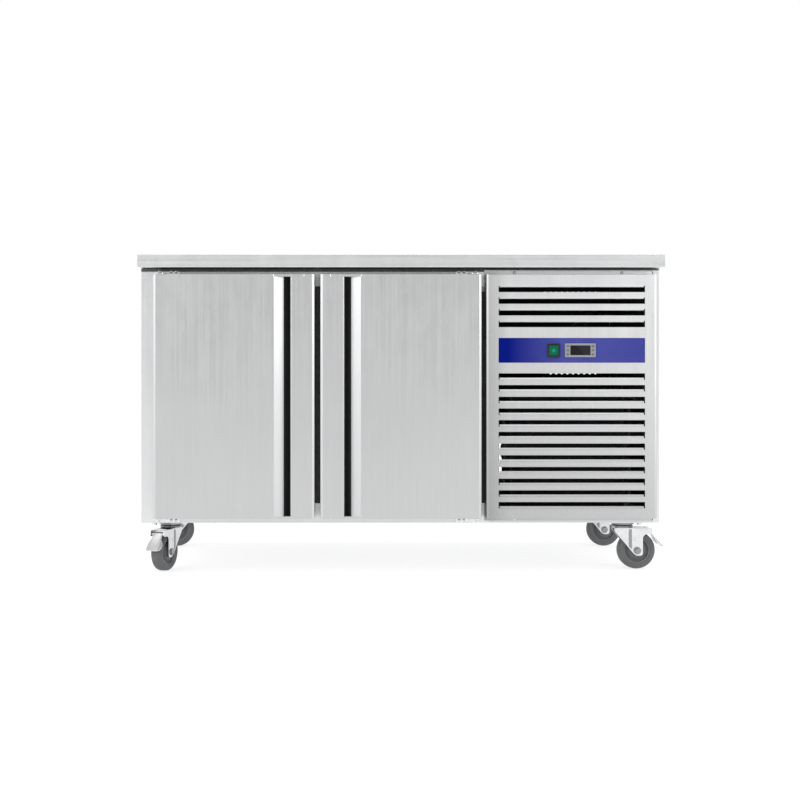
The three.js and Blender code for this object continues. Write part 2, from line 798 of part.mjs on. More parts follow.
/** Fan rotor about Y: a hub with pitched blades. */
function rotor(hub, radius, blades, depth) {
  const parts = [];
  for (let i = 0; i < blades; i += 1) {
    const blade = new THREE.BoxGeometry(radius - hub + 4, BLADE.thickness, radius * BLADE.chordShare);
    blade.rotateX(THREE.MathUtils.degToRad(BLADE.pitch)).translate((radius + hub) / 2 - 4, 0, 0);
    blade.rotateY((i * 2 * Math.PI) / blades);
    parts.push(blade);
  }
  return join(rod('y', hub, depth, 0, -depth / 2, 0, 16), ...parts);
}

/** Condenser with its fan, compressor and condensate tray. */
function refrigerationUnit() {
  const { x, z, size, front, back } = CONDENSER;
  const half = size / 2;
  piece('condenser_coil', block(x - half, x + half, front, back, z - half, z + half), aluminium);

  const frameFront = back + GAP;
  const frameBack = frameFront + SHROUD.depth;
  const barFront = frameBack - SHROUD.barDepth;
  const ring = cut(
    block(x - half, x + half, frameFront, frameBack, z - half, z + half),
    rod('y', SHROUD.bore, SHROUD.depth + 2 * THROUGH, x, frameFront - THROUGH, z, 32),
  );
  const bars = [-1, 1].map((way) => {
    const left = x + way * SHROUD.barOffset - SHROUD.bar / 2;
    return block(left, left + SHROUD.bar, barFront, frameBack, z - SHROUD.barReach, z + SHROUD.barReach);
  });
  const motor = rod('y', SHROUD.motorRadius, SHROUD.motorLength, x, barFront, z, 20);
  piece('fan_shroud', join(ring, ...bars, motor), blackPaint);
  const blades = rotor(FAN.hub, FAN.radius, FAN.blades, FAN.depth).translate(FAN.x, FAN.y, FAN.z);
  piece('condenser_fan', blades, aluminium);

  const floor = BODY.bottom + BAY.frameSheet + GAP;
  piece('compressor', compressor(floor), blackPaint);
  const { wall } = TRAY;
  const tray = cut(
    block(TRAY.left, TRAY.right, TRAY.front, TRAY.back, floor, TRAY.top),
    block(
      TRAY.left + wall,
      TRAY.right - wall,
      TRAY.front + wall,
      TRAY.back - wall,
      floor + wall,
      TRAY.top + THROUGH,
    ),
  );
  piece('condensate_tray', tray, greyPlastic);
}

/** Hermetic compressor: a welded shell on a foot plate. */
function compressor(floor) {
  const { x, y, footX, footY, footHeight } = COMPRESSOR;
  const shell = [
    [0, 20],
    [62, 20],
    [76, 34],
    [80, 60],
    [80, 120],
    [70, 158],
    [42, 178],
    [0, 184],
  ].map(([radius, height]) => new THREE.Vector2(radius, height));
  const dome = new THREE.LatheGeometry(shell, 20).rotateX(Math.PI / 2).translate(x, y, floor);
  return join(dome, block(x - footX, x + footX, y - footY, y + footY, floor, floor + footHeight));
}

/** Evaporator tower behind the mullion: housing, coil and side-blowing fan. */
function evaporatorTower() {
  const { left, right, front, back, bottom, top } = TOWER;
  const { x, y, z, opening } = COLD_FAN;
  const shell = cut(
    block(left, right, front, back, bottom, top),
    block(left + SHEET, right - SHEET, front + SHEET, back - SHEET, bottom + SHEET, top - SHEET),
    rod('x', opening, 2 * THROUGH, left - THROUGH, y, z, 28),
  );
  const slots = [];
  for (let i = 0; i < OUTLET.count; i += 1) {
    const low = OUTLET.lowest + i * OUTLET.pitch;
    const high = low + OUTLET.height;
    slots.push(block(right - THROUGH, right + THROUGH, OUTLET.front, OUTLET.back, low, high));
  }
  const motorLeft = x + COLD_MOTOR.gap;
  const motorRight = motorLeft + COLD_MOTOR.length;
  const half = COLD_MOTOR.foot / 2;
  const motor = rod('x', COLD_MOTOR.radius, COLD_MOTOR.length, motorLeft, y, z);
  const foot = block(motorRight - 1, right - BITE, y - half, y + half, z - half, z + half);
  piece('evaporator_housing', join(cut(shell, ...slots), motor, foot), innerSteel);
  const coilLeft = left + COIL.sideGap;
  const coilRight = right - COIL.sideGap;
  const coil = block(coilLeft, coilRight, COIL.front, COIL.back, COIL.bottom, COIL.top);
  piece('evaporator_coil', coil, aluminium);
  const blades = rotor(COLD_FAN.hub, COLD_FAN.radius, COLD_FAN.blades, COLD_FAN.depth);
  piece('evaporator_fan', blades.rotateZ(Math.PI / 2).translate(x, y, z), blackPlastic);
}

/** Wire shelf: a rim, cross bars under it and close wires from front to back. */
function wireShelf(centreX) {
  const { width, depth, front, level, wire, lengthWires, crossWires } = SHELF;
  const back = front + depth;
  const left = centreX - width / 2;
  const right = centreX + width / 2;
  const rim = cut(
    block(left, right, front, back, level - wire, level + 1),
    block(left + wire, right - wire, front + wire, back - wire, level - wire - THROUGH, level + THROUGH),
  );
  const wires = [];
  for (let i = 1; i <= lengthWires; i += 1) {
    const x = left + (i * width) / (lengthWires + 1);
    wires.push(block(x - 1.7, x + 1.7, front + 1, back - 1, level - 2.5, level + 0.9));
  }
  for (let i = 1; i <= crossWires; i += 1) {
    const y = front + (i * depth) / (crossWires + 1);
    wires.push(block(left + 1, right - 1, y - 2, y + 2, level - wire + 0.3, level - 1));
  }
  return join(rim, ...wires);
}

/** Pair of angle runners along a bay's sides, joined by a bar at the back. */
function shelfRunners(left, right) {
  const { sheet, ledge, wallHeight, barHeight, barDepth, back } = RUNNER;
  const under = SHELF.level - SHELF.wire - GAP;
  const low = under - sheet;
  const front = SHELF.front - 4;
  return join(
    block(left, left + sheet, front, back, low, under + wallHeight),
    block(left + BITE, left + ledge, front, back, low, under),
    block(right - sheet, right, front, back, low, under + wallHeight),
    block(right - ledge, right - BITE, front, back, low, under),
    block(left + 1, right - 1, back - barDepth, back, low, under + barHeight),
  );
}

/** Shelf and runners of both bays. */
function shelves() {
  const bays = [
    ['left', BODY.left + WALL + GAP, TOWER.left - GAP],
    ['right', TOWER.right + GAP, PARTITION.left - GAP],
  ];
  for (const [name, left, right] of bays) {
    piece(`shelf_runners_${name}`, shelfRunners(left, right), innerSteel);
    piece(`wire_shelf_${name}`, wireShelf((left + right) / 2), wireCoat);
  }
}

// ---------- assembly ----------

piece('worktop', worktop(), stainless);
coldChamber();
machineBay();
piece('louvred_panel', louvredPanel(), stainless);
controls();
door('door_left', DOOR.leftEdge, 1);
door('door_right', DOOR.rightEdge, -1);
castor('front_left', CASTOR.left, CASTOR.frontY, -111, true);
castor('front_right', CASTOR.right, CASTOR.frontY, 0, true);
castor('rear_left', CASTOR.left, CASTOR.rearY, 180, false);
castor('rear_right', CASTOR.right, CASTOR.rearY, 0, false);
refrigerationUnit();
evaporatorTower();
shelves();
fridge.position.x = CENTRE_SHIFT;

export default fridge;
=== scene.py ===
import math
import bmesh
import bpy
from mathutils import Matrix, Vector


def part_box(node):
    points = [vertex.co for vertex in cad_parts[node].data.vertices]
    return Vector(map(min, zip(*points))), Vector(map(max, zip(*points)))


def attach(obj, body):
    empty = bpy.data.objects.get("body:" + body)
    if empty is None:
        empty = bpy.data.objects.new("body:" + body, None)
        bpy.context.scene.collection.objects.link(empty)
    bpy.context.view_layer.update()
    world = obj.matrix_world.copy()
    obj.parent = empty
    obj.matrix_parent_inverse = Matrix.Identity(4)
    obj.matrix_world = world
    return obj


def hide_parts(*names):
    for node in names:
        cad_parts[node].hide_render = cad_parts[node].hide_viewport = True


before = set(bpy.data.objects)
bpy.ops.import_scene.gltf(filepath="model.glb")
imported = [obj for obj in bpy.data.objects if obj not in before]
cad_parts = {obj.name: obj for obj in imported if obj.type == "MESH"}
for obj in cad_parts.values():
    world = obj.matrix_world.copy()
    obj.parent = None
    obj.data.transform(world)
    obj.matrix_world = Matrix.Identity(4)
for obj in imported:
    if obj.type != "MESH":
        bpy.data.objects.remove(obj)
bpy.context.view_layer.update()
MM = 0.001


def box(node):
    """Corners of a CAD node in millimetres."""
    low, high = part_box(node)
    return low / MM, high / MM


def middle(node):
    low, high = box(node)
    return (low + high) / 2


# ---------------------------------------------------------------- shape helpers, in millimetres

class Shape:
    """Vertices and faces gathered from several simple forms."""

    def __init__(self):
        self.verts = []
        self.faces = []

    def add(self, form, place=None):
        verts, faces = form
        base = len(self.verts)
        self.verts += [place @ Vector(v) if place else Vector(v) for v in verts]
        self.faces += [tuple(i + base for i in f) for f in faces]
        return self


def loft(rings, closed=False, caps=True):
    """Skin over rings with the same number of points."""
    n = len(rings[0])
    verts = [p for ring in rings for p in ring]
    faces = []
    for k in range(len(rings) if closed else len(rings) - 1):
        a, b = k * n, ((k + 1) % len(rings)) * n
        faces += [(a + i, a + (i + 1) % n, b + (i + 1) % n, b + i) for i in range(n)]
    if caps and not closed:
        faces += [tuple(range(n))[::-1], tuple(range((len(rings) - 1) * n, len(rings) * n))]
    return verts, faces


def along(axis, a, u, v):
    return {"x": (a, u, v), "y": (u, a, v), "z": (u, v, a)}[axis]


def prism(profile, axis, start, end):
    """A closed profile drawn across an axis, extruded from start to end."""
    return loft([[along(axis, a, u, v) for u, v in profile] for a in (start, end)])


def rounded(points, radii, steps=5):
    """A polygon with its corners rounded."""
    out = []
    n = len(points)
    for i, corner in enumerate(points):
        r = radii[i] if hasattr(radii, "__len__") else radii
        p = Vector(corner)
        a = Vector(points[i - 1]) - p
        b = Vector(points[(i + 1) % n]) - p
        if r <= 0:
            out.append(tuple(p))
            continue
        half = a.angle(b) / 2
        cut = min(r / math.tan(half), a.length * 0.49, b.length * 0.49)
        first, last = p + a.normalized() * cut, p + b.normalized() * cut
        for k in range(steps + 1):
            t = k / steps
            out.append(tuple(first * (1 - t) ** 2 + p * 2 * t * (1 - t) + last * t * t))
    return out


def rect(x0, x1, z0, z1, r=0.0, steps=4):
    return rounded([(x0, z0), (x1, z0), (x1, z1), (x0, z1)], r, steps)


def circle(x, z, r, n=24):
    return [(x + r * math.cos(2 * math.pi * i / n), z + r * math.sin(2 * math.pi * i / n)) for i in range(n)]


def frames(axis, stack, steps=4):
    """Loft over rounded rectangles given as (x0, x1, z0, z1, radius, depth)."""
    return [[along(axis, d, u, v) for u, v in rect(a, b, c, e, r, steps)] for a, b, c, e, r, d in stack]


def drawn(bounds, rows):
    """Rounded rectangles for frames: bounds (x0, x1, z0, z1) drawn in by rows of (inset, radius, depth)."""
    a, b, c, e = bounds
    return [(a + i, b - i, c + i, e - i, r, d) for i, r, d in rows]


def lathe(profile, n=32, closed=False):
    """Profile of (radius, height) turned about Z."""
    rings = []
    for r, z in profile:
        rings.append([(r * math.cos(2 * math.pi * i / n), r * math.sin(2 * math.pi * i / n),
                       z) for i in range(n)])
    return loft(rings, closed=closed)


def tube(points, radius, sides=10, loop=False):
    """Round tube through points."""
    pts = [Vector(p) for p in points]
    n = len(pts)
    rings = []
    normal = None
    for i, p in enumerate(pts):
        ahead = pts[(i + 1) % n] if loop or i < n - 1 else p
        before = pts[i - 1] if loop or i > 0 else p
        t = (ahead - before).normalized()
        if normal is None:
            normal = t.orthogonal().normalized()
        normal = (normal - t * normal.dot(t)).normalized()
        side = t.cross(normal)
        ring = []
        for k in range(sides):
            w = 2 * math.pi * k / sides
            ring.append(p + normal * (radius * math.cos(w)) + side * (radius * math.sin(w)))
        rings.append(ring)
    return loft(rings, closed=loop)


def bent(points, radius, steps=5):
    """A polyline with its inner corners rounded, for pipes and wires."""
    pts = [Vector(p) for p in points]
    out = [pts[0]]
    for i in range(1, len(pts) - 1):
        p = pts[i]
        a, b = pts[i - 1] - p, pts[i + 1] - p
        cut = min(radius, a.length * 0.49, b.length * 0.49)
        first, last = p + a.normalized() * cut, p + b.normalized() * cut
        for k in range(steps + 1):
            t = k / steps
            out.append(first * (1 - t) ** 2 + p * 2 * t * (1 - t) + last * t * t)
    return out + [pts[-1]]


def plate(loops, thickness, bevel=0.3):
    """Flat sheet with holes, standing on z = 0: loops are its closed outlines, the outer one first."""
    curve = bpy.data.curves.new("plate", "CURVE")
    curve.dimensions = "2D"
    curve.fill_mode = "BOTH"
    curve.extrude = thickness / 2 - bevel
    curve.bevel_depth = bevel
    curve.bevel_resolution = 1
    curve.offset = -bevel
    for points in loops:
        spline = curve.splines.new("POLY")
        spline.points.add(len(points) - 1)
        for slot, (u, v) in zip(spline.points, points):
            slot.co = (u, v, 0, 1)
        spline.use_cyclic_u = True
    holder = bpy.data.objects.new("plate", curve)
    bpy.context.scene.collection.objects.link(holder)
    bpy.context.view_layer.update()
    made = bpy.data.meshes.new_from_object(holder.evaluated_get(bpy.context.evaluated_depsgraph_get()))
    up = Vector((0, 0, thickness / 2))
    form = [tuple(v.co + up) for v in made.vertices], [tuple(p.vertices) for p in made.polygons]
    bpy.data.objects.remove(holder)
    bpy.data.curves.remove(curve)
    bpy.data.meshes.remove(made)
    return form


def axes(x, y, z, origin=(0, 0, 0)):
    """Matrix that sends local x, y and z to three directions from an origin."""
    m = Matrix((x, y, z)).transposed().to_4x4()
    m.translation = Vector(origin)
    return m


def facing_front(y):
    """A sheet drawn in X and Z whose back starts at y and grows towards the back."""
    return axes((1, 0, 0), (0, 0, 1), (0, 1, 0), (0, y, 0))


def at(x, y, z, axis="z"):
    """Place of something turned about Z, at a point, with its axis along x, -y, y or z."""
    turn = {"z": Matrix.Identity(4), "x": Matrix.Rotation(math.pi / 2, 4, "Y"),
            "y": Matrix.Rotation(-math.pi / 2, 4, "X"), "-y": Matrix.Rotation(math.pi / 2, 4, "X"),
            "-z": Matrix.Rotation(math.pi, 4, "X"), "-x": Matrix.Rotation(-math.pi / 2, 4, "Y")}[axis]
    return Matrix.Translation((x, y, z)) @ turn


def settle(name, mesh, material, body, replaces, smooth, bevel, flat=None):
    """Merges and smooths a mesh, rounds its edges and rides it on a body."""
    work = bmesh.new()
    work.from_mesh(mesh)
    bmesh.ops.remove_doubles(work, verts=work.verts, dist=1e-6)
    if flat:
        bmesh.ops.dissolve_limit(work, angle_limit=math.radians(flat), verts=work.verts, edges=work.edges)
    bmesh.ops.recalc_face_normals(work, faces=work.faces)
    work.to_mesh(mesh)
    work.free()
    mesh.shade_smooth()
    mesh.set_sharp_from_angle(angle=math.radians(smooth))
    obj = bpy.data.objects.new(name, mesh)
    bpy.context.scene.collection.objects.link(obj)
    mesh.materials.append(material)
    if bevel:
        soften(obj, bevel)
    level(obj)
    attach(obj, body)
    if replaces:
        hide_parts(*replaces)


def make(name, shape, material, body, replaces=(), smooth=35, bevel=0.0, place=None):
    """Turns a shape into a piece that rides on a body."""
    if isinstance(shape, tuple):
        shape = Shape().add(shape)
    mesh = bpy.data.meshes.new(name)
    move = place or Matrix.Identity(4)
    mesh.from_pydata([(move @ v) * MM for v in shape.verts], [], shape.faces)
    settle(name, mesh, material, body, replaces, smooth, bevel)


def soften(obj, width, segments=2):
    """Rounds the sharp edges of a piece."""
    mod = obj.modifiers.new("soft_edges", "BEVEL")
    mod.width = width * MM
    mod.segments = segments
    mod.limit_method = "ANGLE"
    mod.angle_limit = math.radians(50)
    mod.harden_normals = True


def level(obj):
    """Keeps large flat faces flat right up to their rounded edges."""
    mod = obj.modifiers.new("level_faces", "WEIGHTED_NORMAL")
    mod.keep_sharp = True
    mod.weight = 100


def refined(node, material, body, width=0.8):
    """A CAD node's own form with its edges rounded."""
    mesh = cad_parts[node].data.copy()
    mesh.materials.clear()
    settle(node + "_finished", mesh, material, body, [node], 40, width, flat=2)


def screw_head(radius=4.0, height=2.4):
    """Domed head with a socket in it, standing on z = 0."""
    return lathe([(0, 0), (radius, 0), (radius, height * 0.35), (radius * 0.8, height * 0.8),
                  (radius * 0.5, height),
                  (radius * 0.42, height), (radius * 0.36, height * 0.4), (0, height * 0.4)], 20)


def screws(name, places, radius=4.0, height=2.4):
    """Screw heads at (x, y, z, axis) places of the cabinet."""
    heads = Shape()
    for place in places:
        heads.add(screw_head(radius, height), at(*place))
    make(name, heads, fastener, "cabinet")


def hex_head(radius, height):
    """Hexagon bolt head with a chamfer and a washer, standing on z = 0."""
    washer = lathe([(0, 0), (radius * 1.35, 0), (radius * 1.35, 1.2), (0, 1.2)], 24)
    hexagon = [[(r * math.cos(k * math.pi / 3), r * math.sin(k * math.pi / 3), z) for k in range(6)]
               for r, z in ((radius, 1.2), (radius, height - 0.9), (radius * 0.86, height))]
    return Shape().add(washer).add(loft(hexagon))


def include(shape, other, place=None):
    """Adds a whole shape to another."""
    return shape.add((other.verts, other.faces), place)


# ---------------------------------------------------------------- materials

class Look:
    """A procedural material under construction."""

    def __init__(self, name, color, metallic, roughness):
        self.material = bpy.data.materials.new(name)
        self.material.use_nodes = True
        self.tree = self.material.node_tree
        self.shader = self.tree.nodes["Principled BSDF"]
        self.shader.inputs["Metallic"].default_value = metallic
        self.shader.inputs["Roughness"].default_value = roughness
        self.shader.inputs["Base Color"].default_value = (*color, 1)
        self.color = None
        self.rough = None
        self.height = None
        self.base = color
        self.coords = self.tree.nodes.new("ShaderNodeTexCoord").outputs["Object"]

    def node(self, kind, **settings):
        made = self.tree.nodes.new(kind)
        for key, value in settings.items():
            setattr(made, key, value)
        return made

    def link(self, a, b):
        self.tree.links.new(a, b)

    def noise(self, scale, stretch=(1, 1, 1), detail=2.0, rough=0.5):
        """Noise between 0 and 1, stretched along the axes."""
        mapping = self.node("ShaderNodeMapping")
        mapping.inputs["Scale"].default_value = [s * scale for s in stretch]
        noise = self.node("ShaderNodeTexNoise")
        noise.inputs["Scale"].default_value = 1.0
        noise.inputs["Detail"].default_value = detail
        noise.inputs["Roughness"].default_value = rough
        self.link(self.coords, mapping.inputs["Vector"])
        self.link(mapping.outputs["Vector"], noise.inputs["Vector"])
        return noise.outputs["Fac"]

    def scaled(self, value, low, high, start=0.0, end=1.0):
        spread = self.node("ShaderNodeMapRange")
        for key, number in zip(("From Min", "From Max", "To Min", "To Max"), (start, end, low, high)):
            spread.inputs[key].default_value = number
        self.link(value, spread.inputs["Value"])
        return spread.outputs["Result"]

    def tint(self, value, low, high, start=0.3, end=0.7):
        """Multiplies the colour by something between two greys or two colours."""
        low = (low,) * 3 if not hasattr(low, "__len__") else low
        high = (high,) * 3 if not hasattr(high, "__len__") else high
        ramp = self.node("ShaderNodeMix", data_type="RGBA")
        ramp.inputs["A"].default_value = (*low, 1)
        ramp.inputs["B"].default_value = (*high, 1)
        self.link(self.scaled(value, 0, 1, start, end), ramp.inputs["Factor"])
        times = self.node("ShaderNodeMix", data_type="RGBA", blend_type="MULTIPLY")
        times.inputs["Factor"].default_value = 1.0
        if self.color is None:
            times.inputs["A"].default_value = (*self.base, 1)
        else:
            self.link(self.color, times.inputs["A"])
        self.link(ramp.outputs["Result"], times.inputs["B"])
        self.color = times.outputs["Result"]
        return self

    def rougher(self, value, low, high, start=0.3, end=0.7):
        spread = self.scaled(value, low, high, start, end)
        if self.rough is not None:
            total = self.node("ShaderNodeMath", operation="ADD")
            self.link(self.rough, total.inputs[0])
            self.link(spread, total.inputs[1])
            spread = total.outputs[0]
        self.rough = spread
        return self

    def raised(self, value, strength, distance=0.0004):
        bump = self.node("ShaderNodeBump")
        bump.inputs["Strength"].default_value = strength
        bump.inputs["Distance"].default_value = distance
        self.link(value, bump.inputs["Height"])
        if self.height is not None:
            self.link(self.height, bump.inputs["Normal"])
        self.height = bump.outputs["Normal"]
        return self

    def position(self, axis):
        """One coordinate of the point, in metres."""
        apart = self.node("ShaderNodeSeparateXYZ")
        self.link(self.coords, apart.inputs[0])
        return apart.outputs[axis]

    def done(self, **direct):
        if self.color is not None:
            self.link(self.color, self.shader.inputs["Base Color"])
        if self.rough is not None:
            self.link(self.rough, self.shader.inputs["Roughness"])
        if self.height is not None:
            self.link(self.height, self.shader.inputs["Normal"])
        for key, value in direct.items():
            self.shader.inputs[key.replace("_", " ")].default_value = value
        return self.material


GRAIN = {"x": (0.012, 1, 1), "y": (1, 0.012, 1), "z": (1, 1, 0.012)}


def brushed(name, color, roughness, grain, painted_shades=()):
    """Brushed stainless steel: fine lines along the grain, faint streaks, clouds and wiping marks, with painted
    shade along given axes.
    """
    look = Look(name, color, 1.0, roughness)
    fine = look.noise(1400, GRAIN[grain], 3.0, 0.6)
    streaks = look.noise(210, GRAIN[grain], 2.0)
    clouds = look.noise(3.2, (1, 1, 1), 2.0)
    wiping = look.noise(26, (1, 1, 0.5), 4.0, 0.65)
    look.tint(fine, 0.96, 1.02).tint(streaks, 0.98, 1.01).tint(clouds, 0.98, 1.01)
    # painted shade and light: the colour is scaled between two greys along a position axis
    for axis, start, end, low, high in painted_shades:
        look.tint(look.position(axis), low, high, start * MM, end * MM)
    look.rougher(streaks, roughness - 0.03, roughness + 0.04).rougher(wiping, -0.02, 0.04)
    look.raised(fine, 0.04, 0.0002)
    tangent = look.node("ShaderNodeTangent", direction_type="RADIAL", axis="Z")
    look.link(tangent.outputs[0], look.shader.inputs["Tangent"])
    return look.done(Anisotropic=0.3)


def zinc_finish(name, color, roughness):
    """Bright zinc plating with a soft spangle and rubbed patches."""
    look = Look(name, color, 1.0, roughness)
    spangle = look.node("ShaderNodeTexVoronoi", feature="F1")
    spangle.inputs["Scale"].default_value = 190.0
    look.link(look.coords, spangle.inputs["Vector"])
    look.tint(spangle.outputs["Color"], 0.96, 1.02, 0.0, 1.0)
    look.tint(look.noise(40, (1, 1, 1), 3.0), 0.93, 1.02)
    look.rougher(look.noise(120, (1, 1, 1), 3.0), roughness - 0.05, roughness + 0.07)
    look.raised(look.noise(500, (1, 1, 1), 2.0), 0.04)
    return look.done()


def moulded(name, color, roughness, grain_scale=900.0, strength=0.12, **direct):
    """Moulded plastic or rubber with a fine leathery grain and dusty patches."""
    look = Look(name, color, 0.0, roughness)
    look.tint(look.noise(18, (1, 1, 1), 3.0), 0.88, 1.1)
    look.tint(look.noise(260, (1, 1, 1), 2.0), 0.94, 1.06)
    look.rougher(look.noise(60, (1, 1, 1), 3.0), roughness - 0.07, roughness + 0.09)
    look.raised(look.noise(grain_scale, (1, 1, 1), 2.0), strength)
    return look.done(**direct)


panel_low, panel_high = box("louvred_panel")
steel_top = brushed("worktop_steel", (0.765, 0.77, 0.775), 0.3, "x")
# the door steel is painted darker towards the bottom: painted shade
steel_door = brushed("door_steel", (0.75, 0.755, 0.76), 0.32, "z", [("Z", 150, 780, 0.76, 0.82)])
# the panel steel is painted darker towards the bottom and at its left edge, and lighter towards the right:
# painted shade and light
steel_panel = brushed("panel_steel", (0.73, 0.735, 0.74), 0.33, "z", [
    ("Z", 150, 750, 0.7, 1.08), ("X", panel_low.x, panel_low.x + 60, 0.7, 0.97),
    ("X", panel_low.x + 80, panel_high.x, 0.97, 1.08)])
steel_body = brushed("body_steel", (0.74, 0.745, 0.75), 0.34, "z")
# a darker copy of the body steel for the rails, painted darker still towards the top: painted shadow of the
# doors and the worktop overhang
steel_shaded_rail = brushed("shaded_rail_steel", (0.69, 0.695, 0.7), 0.4, "x", [("Z", 180, 750, 1.0, 0.75)])
steel_inner = brushed("inner_steel", (0.66, 0.67, 0.68), 0.42, "y")
zinc = zinc_finish("zinc", (0.74, 0.745, 0.755), 0.2)
# a darker copy of the zinc, used on the castor races, collars and folds
dark_zinc = zinc_finish("dark_zinc", (0.33, 0.333, 0.34), 0.26)
tread_zinc = zinc_finish("tread_zinc", (0.58, 0.583, 0.59), 0.24)
fastener = zinc_finish("fastener_steel", (0.66, 0.665, 0.67), 0.28)
aluminium = brushed("fin_aluminium", (0.55, 0.56, 0.57), 0.45, "z")
copper = zinc_finish("copper", (0.3, 0.14, 0.08), 0.34)
wire = zinc_finish("shelf_wire", (0.83, 0.84, 0.85), 0.26)
black = moulded("black_plastic", (0.012, 0.012, 0.014), 0.42)
paint = moulded("black_paint", (0.02, 0.021, 0.023), 0.36, 300.0, 0.2)
foam = moulded("pipe_insulation", (0.03, 0.03, 0.032), 0.85, 500.0, 0.4)
# near-black fins: black coating as condensers often have, and painted shade that keeps the bay dark behind the
# louvres
fins_black_shade = moulded("black_fins_painted_shade", (0.03, 0.031, 0.033), 0.5, 400.0, 0.15)
# dark sheet material for the door grooves: painted shade of the deep recess
groove_shade = moulded("groove_painted_shade", (0.035, 0.035, 0.037), 0.55)
# dark grey for strips and beads that stand in for shade and shadow lines
shade_strips_look = moulded("painted_shade_strip", (0.08, 0.081, 0.083), 0.6)
bright = moulded("sealing_block", (0.62, 0.63, 0.64), 0.5)
grey = moulded("grey_plastic", (0.24, 0.25, 0.27), 0.45)
keys = moulded("key_plastic", (0.12, 0.125, 0.13), 0.4)
rubber = moulded("tyre_rubber", (0.1, 0.102, 0.105), 0.62, 700.0, 0.2)
hub_plastic = moulded("hub_plastic", (0.1, 0.102, 0.106), 0.5)
rim_plastic = moulded("rim_plastic", (0.2, 0.203, 0.208), 0.45)
seal = moulded("gasket", (0.16, 0.165, 0.17), 0.6)


def screen_look(centre):
    """Black display window with a painted slanting sheen over one half: a painted reflection."""
    look = Look("display_glass", (0.006, 0.006, 0.007), 0.0, 0.3)
    lean = look.node("ShaderNodeMath", operation="ADD")
    look.link(look.position("X"), lean.inputs[0])
    look.link(look.position("Z"), lean.inputs[1])
    middle_line = (centre.x + centre.z) * MM
    # painted reflection: the half above the slanting line is made 2.6 times lighter
    look.tint(lean.outputs[0], 1.0, 2.6, middle_line - 0.001, middle_line + 0.001)
    look.tint(look.noise(300, (1, 1, 1), 2.0), 0.9, 1.1)
    return look.done(Specular_IOR_Level=0.2)


def strip_look():
    """Blue film, deep at the left end and lighter from the middle on."""
    low, high = box("control_strip")
    look = Look("blue_strip", (0.06, 0.068, 0.285), 0.0, 0.35)
    look.tint(look.position("X"), (0.0, 0.08, 0.55), (0.95, 0.95, 0.95), (low.x + 25) * MM, (low.x + 165) * MM)
    look.tint(look.position("X"), 1.0, (0.78, 0.78, 0.93), (low.x + 200) * MM, high.x * MM)
    look.tint(look.noise(30, (1, 1, 1), 3.0), 0.96, 1.04)
    look.tint(look.noise(500, (1, 1, 1), 2.0), 0.97, 1.03)
    look.rougher(look.noise(90, (1, 1, 1), 3.0), 0.3, 0.42)
    look.raised(look.noise(700, (1, 1, 1), 2.0), 0.03)
    return look.done(Specular_IOR_Level=0.05)


def lens_look(centre):
    """Green lens, lit from behind with a small brighter middle."""
    look = Look("green_lens", (0.002, 0.095, 0.052), 0.0, 0.3)
    away = look.node("ShaderNodeVectorMath", operation="DISTANCE")
    away.inputs[1].default_value = centre * MM
    look.link(look.coords, away.inputs[0])
    look.tint(away.outputs["Value"], 3.0, 0.95, 0.002, 0.007)
    look.tint(look.noise(300, (1, 1, 1), 2.0), 0.93, 1.07)
    look.raised(look.noise(900, (1, 1, 1), 2.0), 0.05)
    material = look.done(Emission_Strength=0.15, Specular_IOR_Level=0.1)
    look.link(look.color, look.shader.inputs["Emission Color"])
    return material


screen = screen_look(middle("controller"))
blue = strip_look()
green = lens_look(middle("rocker_switch"))


# ---------------------------------------------------------------- cabinet

def worktop():
    """Folded worktop: rolled long edges, a hem under the front and a capped seam near each end."""
    low, high = box("worktop")
    y0, y1, z0, z1 = low.y, high.y, low.z, high.z
    section = rounded([(y0, z0), (y0 + 8, z0), (y0 + 8, z0 + 1.2), (y1 - 8, z0 + 1.2), (y1 - 8, z0), (y1, z0),
                       (y1, z1), (y0, z1)], [1.6, 0.4, 0.4, 0.4, 0.4, 1.6, 3.2, 3.2], 6)
    cap, seam = 7.6, 0.5
    shape = Shape().add(prism(section, "x", low.x + cap + seam, high.x - cap - seam))
    core = [(y * 0.997, z0 + 2 + (z - z0) * 0.88) for y, z in section]
    shape.add(prism(core, "x", low.x + 1, high.x - 1))
    shape.add(prism(section, "x", low.x, low.x + cap)).add(prism(section, "x", high.x - cap, high.x))
    make("worktop_sheet", shape, steel_top, "cabinet", ["worktop"], bevel=0.5)


